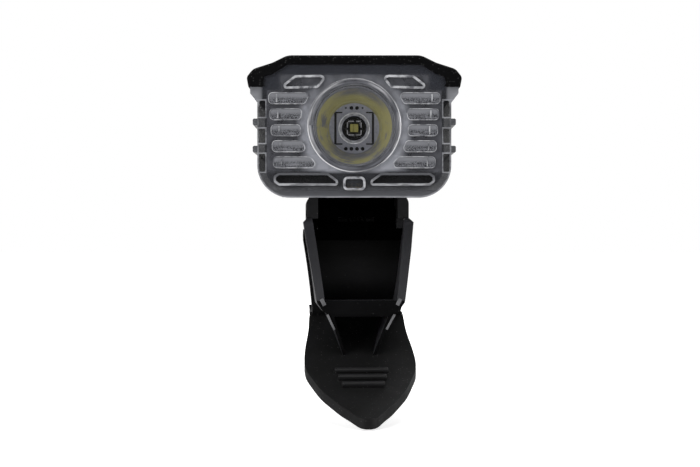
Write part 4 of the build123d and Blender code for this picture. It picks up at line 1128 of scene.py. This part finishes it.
# %% Three ridges under the thumb
# Each ridge: how far in front of the bar's axis it lies, and half its length
RIDGES = ((26.6, 7.7), (29.9, 6.95), (33.3, 6.1))
RIDGE_WIDTH, RIDGE_HEIGHT = 1.45, 1.3
ABOVE_PADDLE = -18 * MM
DOWN = Vector((0, 0, -1))
arm_copy = flat_faced_copy("lever_arm")
arm_surface = BVHTree.FromBMesh(arm_copy)
arm_copy.free()
ridges = bmesh.new()
for forward, half in RIDGES:
    start = CLIP_TURN @ Vector((0, -forward * MM, ABOVE_PADDLE))
    spot, normal, _, _ = arm_surface.ray_cast(start, DOWN)
    local = CLIP_TURN.inverted() @ spot / MM
    size = (2 * half, RIDGE_WIDTH, RIDGE_HEIGHT)
    turned_bar(ridges, local, size, (1, 0, 0), CLIP_TURN.inverted() @ normal)
bar_piece("grip_ridges", ridges, ridge_black_lit, "lever", 0.45 * MM)
print("ridges", len(RIDGES))

# %% Painted highlights: pale facets at the inner corners of the cheeks, and along the upper edges of the keel's ribs
facets = bmesh.new()
for side in (-1, 1):
    corner_way, rib_way = (side * 0.45, 0, 0.9), (side * 2.3, -2.1, 4.8)
    turned_bar(facets, (side * 10.95, -24.95, -9.7), (2.1, 1.1, 0.5), corner_way, (0, -1, 0.25))
    turned_bar(facets, (side * 8.60, -24.15, -15.5), (5.2, 0.62, 0.5), rib_way, (0, -0.9, -0.4))
bar_piece("brace_highlight_facets", facets, brace_highlight, "lever", 0.12 * MM)
print("facets made")

# %% [markdown]
# ### Torsion spring
# The torsion spring has one end in the clip base and the other on the lever, so it winds up as
# the lever opens. The piece here is the frame's coil, copied with its doubled points welded, and it
# takes the frame node's place without following either body.

# %% Spring copied from the frame
spring_work = bmesh.new()
spring_work.from_mesh(frame["nodes"]["torsion_spring"].data)
bmesh.ops.remove_doubles(spring_work, verts=spring_work.verts, dist=WELD)
spring_wire = mesh_object("spring_wire", spring_work, [spring_black])
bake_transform(spring_wire)
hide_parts("torsion_spring")
print("spring points", len(spring_wire.data.vertices))

# %% [markdown]
# ### Skirts in the clip base
# A slit above the lever's wide part would let light through where the photograph shows black. Two
# small dark blocks inside the base cover it. They could be part of the base, but as pieces of the
# scene they leave the imported solid alone.

# %% Skirts over the slit
# The skirts carry the near-black painted shade of the clip's hollow
skirts = bmesh.new()
for side in (-1, 1):
    turned_bar(skirts, (side * 13.1, -7.5, 11.4), (2.7, 3.0, 1.7), (1, 0, 0), (0, 0, 1))
bar_piece("base_skirts", skirts, painted_shade_black, "clip", 0.1 * MM)
print("clip details made")

# %% [markdown]
# ## Nodes that keep their shape
# Screws, boards, cells and pads need no rounding that could be seen, so the frame's own meshes
# stay and only get their finishes.

# %% Finishes of the kept nodes
kept_nodes = {
    "seal_gasket": rubber_black,
    "housing_screws": steel,
    "front_frame": inner_black,
    "tir_optic": clear_lens,
    "optic_cup": inner_black,
    "led_board": board_grey,
    "led_collar": collar_white,
    "led_package": led_ceramic,
    "led_phosphor": phosphor,
    "led_dome": clear_lens,
    "heat_sink": aluminium,
    "battery_left": cell_wrap,
    "battery_right": cell_wrap,
    "battery_straps": nickel,
    "battery_tray": inner_black,
    "main_board": circuit_green,
    "board_screws": steel,
    "button_switch": track_black,
    "switch_plunger": collar_white,
    "charge_lights": guide_clear,
    "usb_socket": nickel,
    "swivel_insert": brass,
    "swivel_screw": steel,
    "friction_washer": rubber_black,
    "wave_washer": steel,
    "upper_pad": rubber_black,
    "jaw_pad": rubber_black,
    "hinge_pin": pin_dark_shaded,
}
for node_name, material in kept_nodes.items():
    mesh = frame["nodes"][node_name].data
    mesh.materials.clear()
    mesh.materials.append(material)
print("kept nodes", len(kept_nodes))
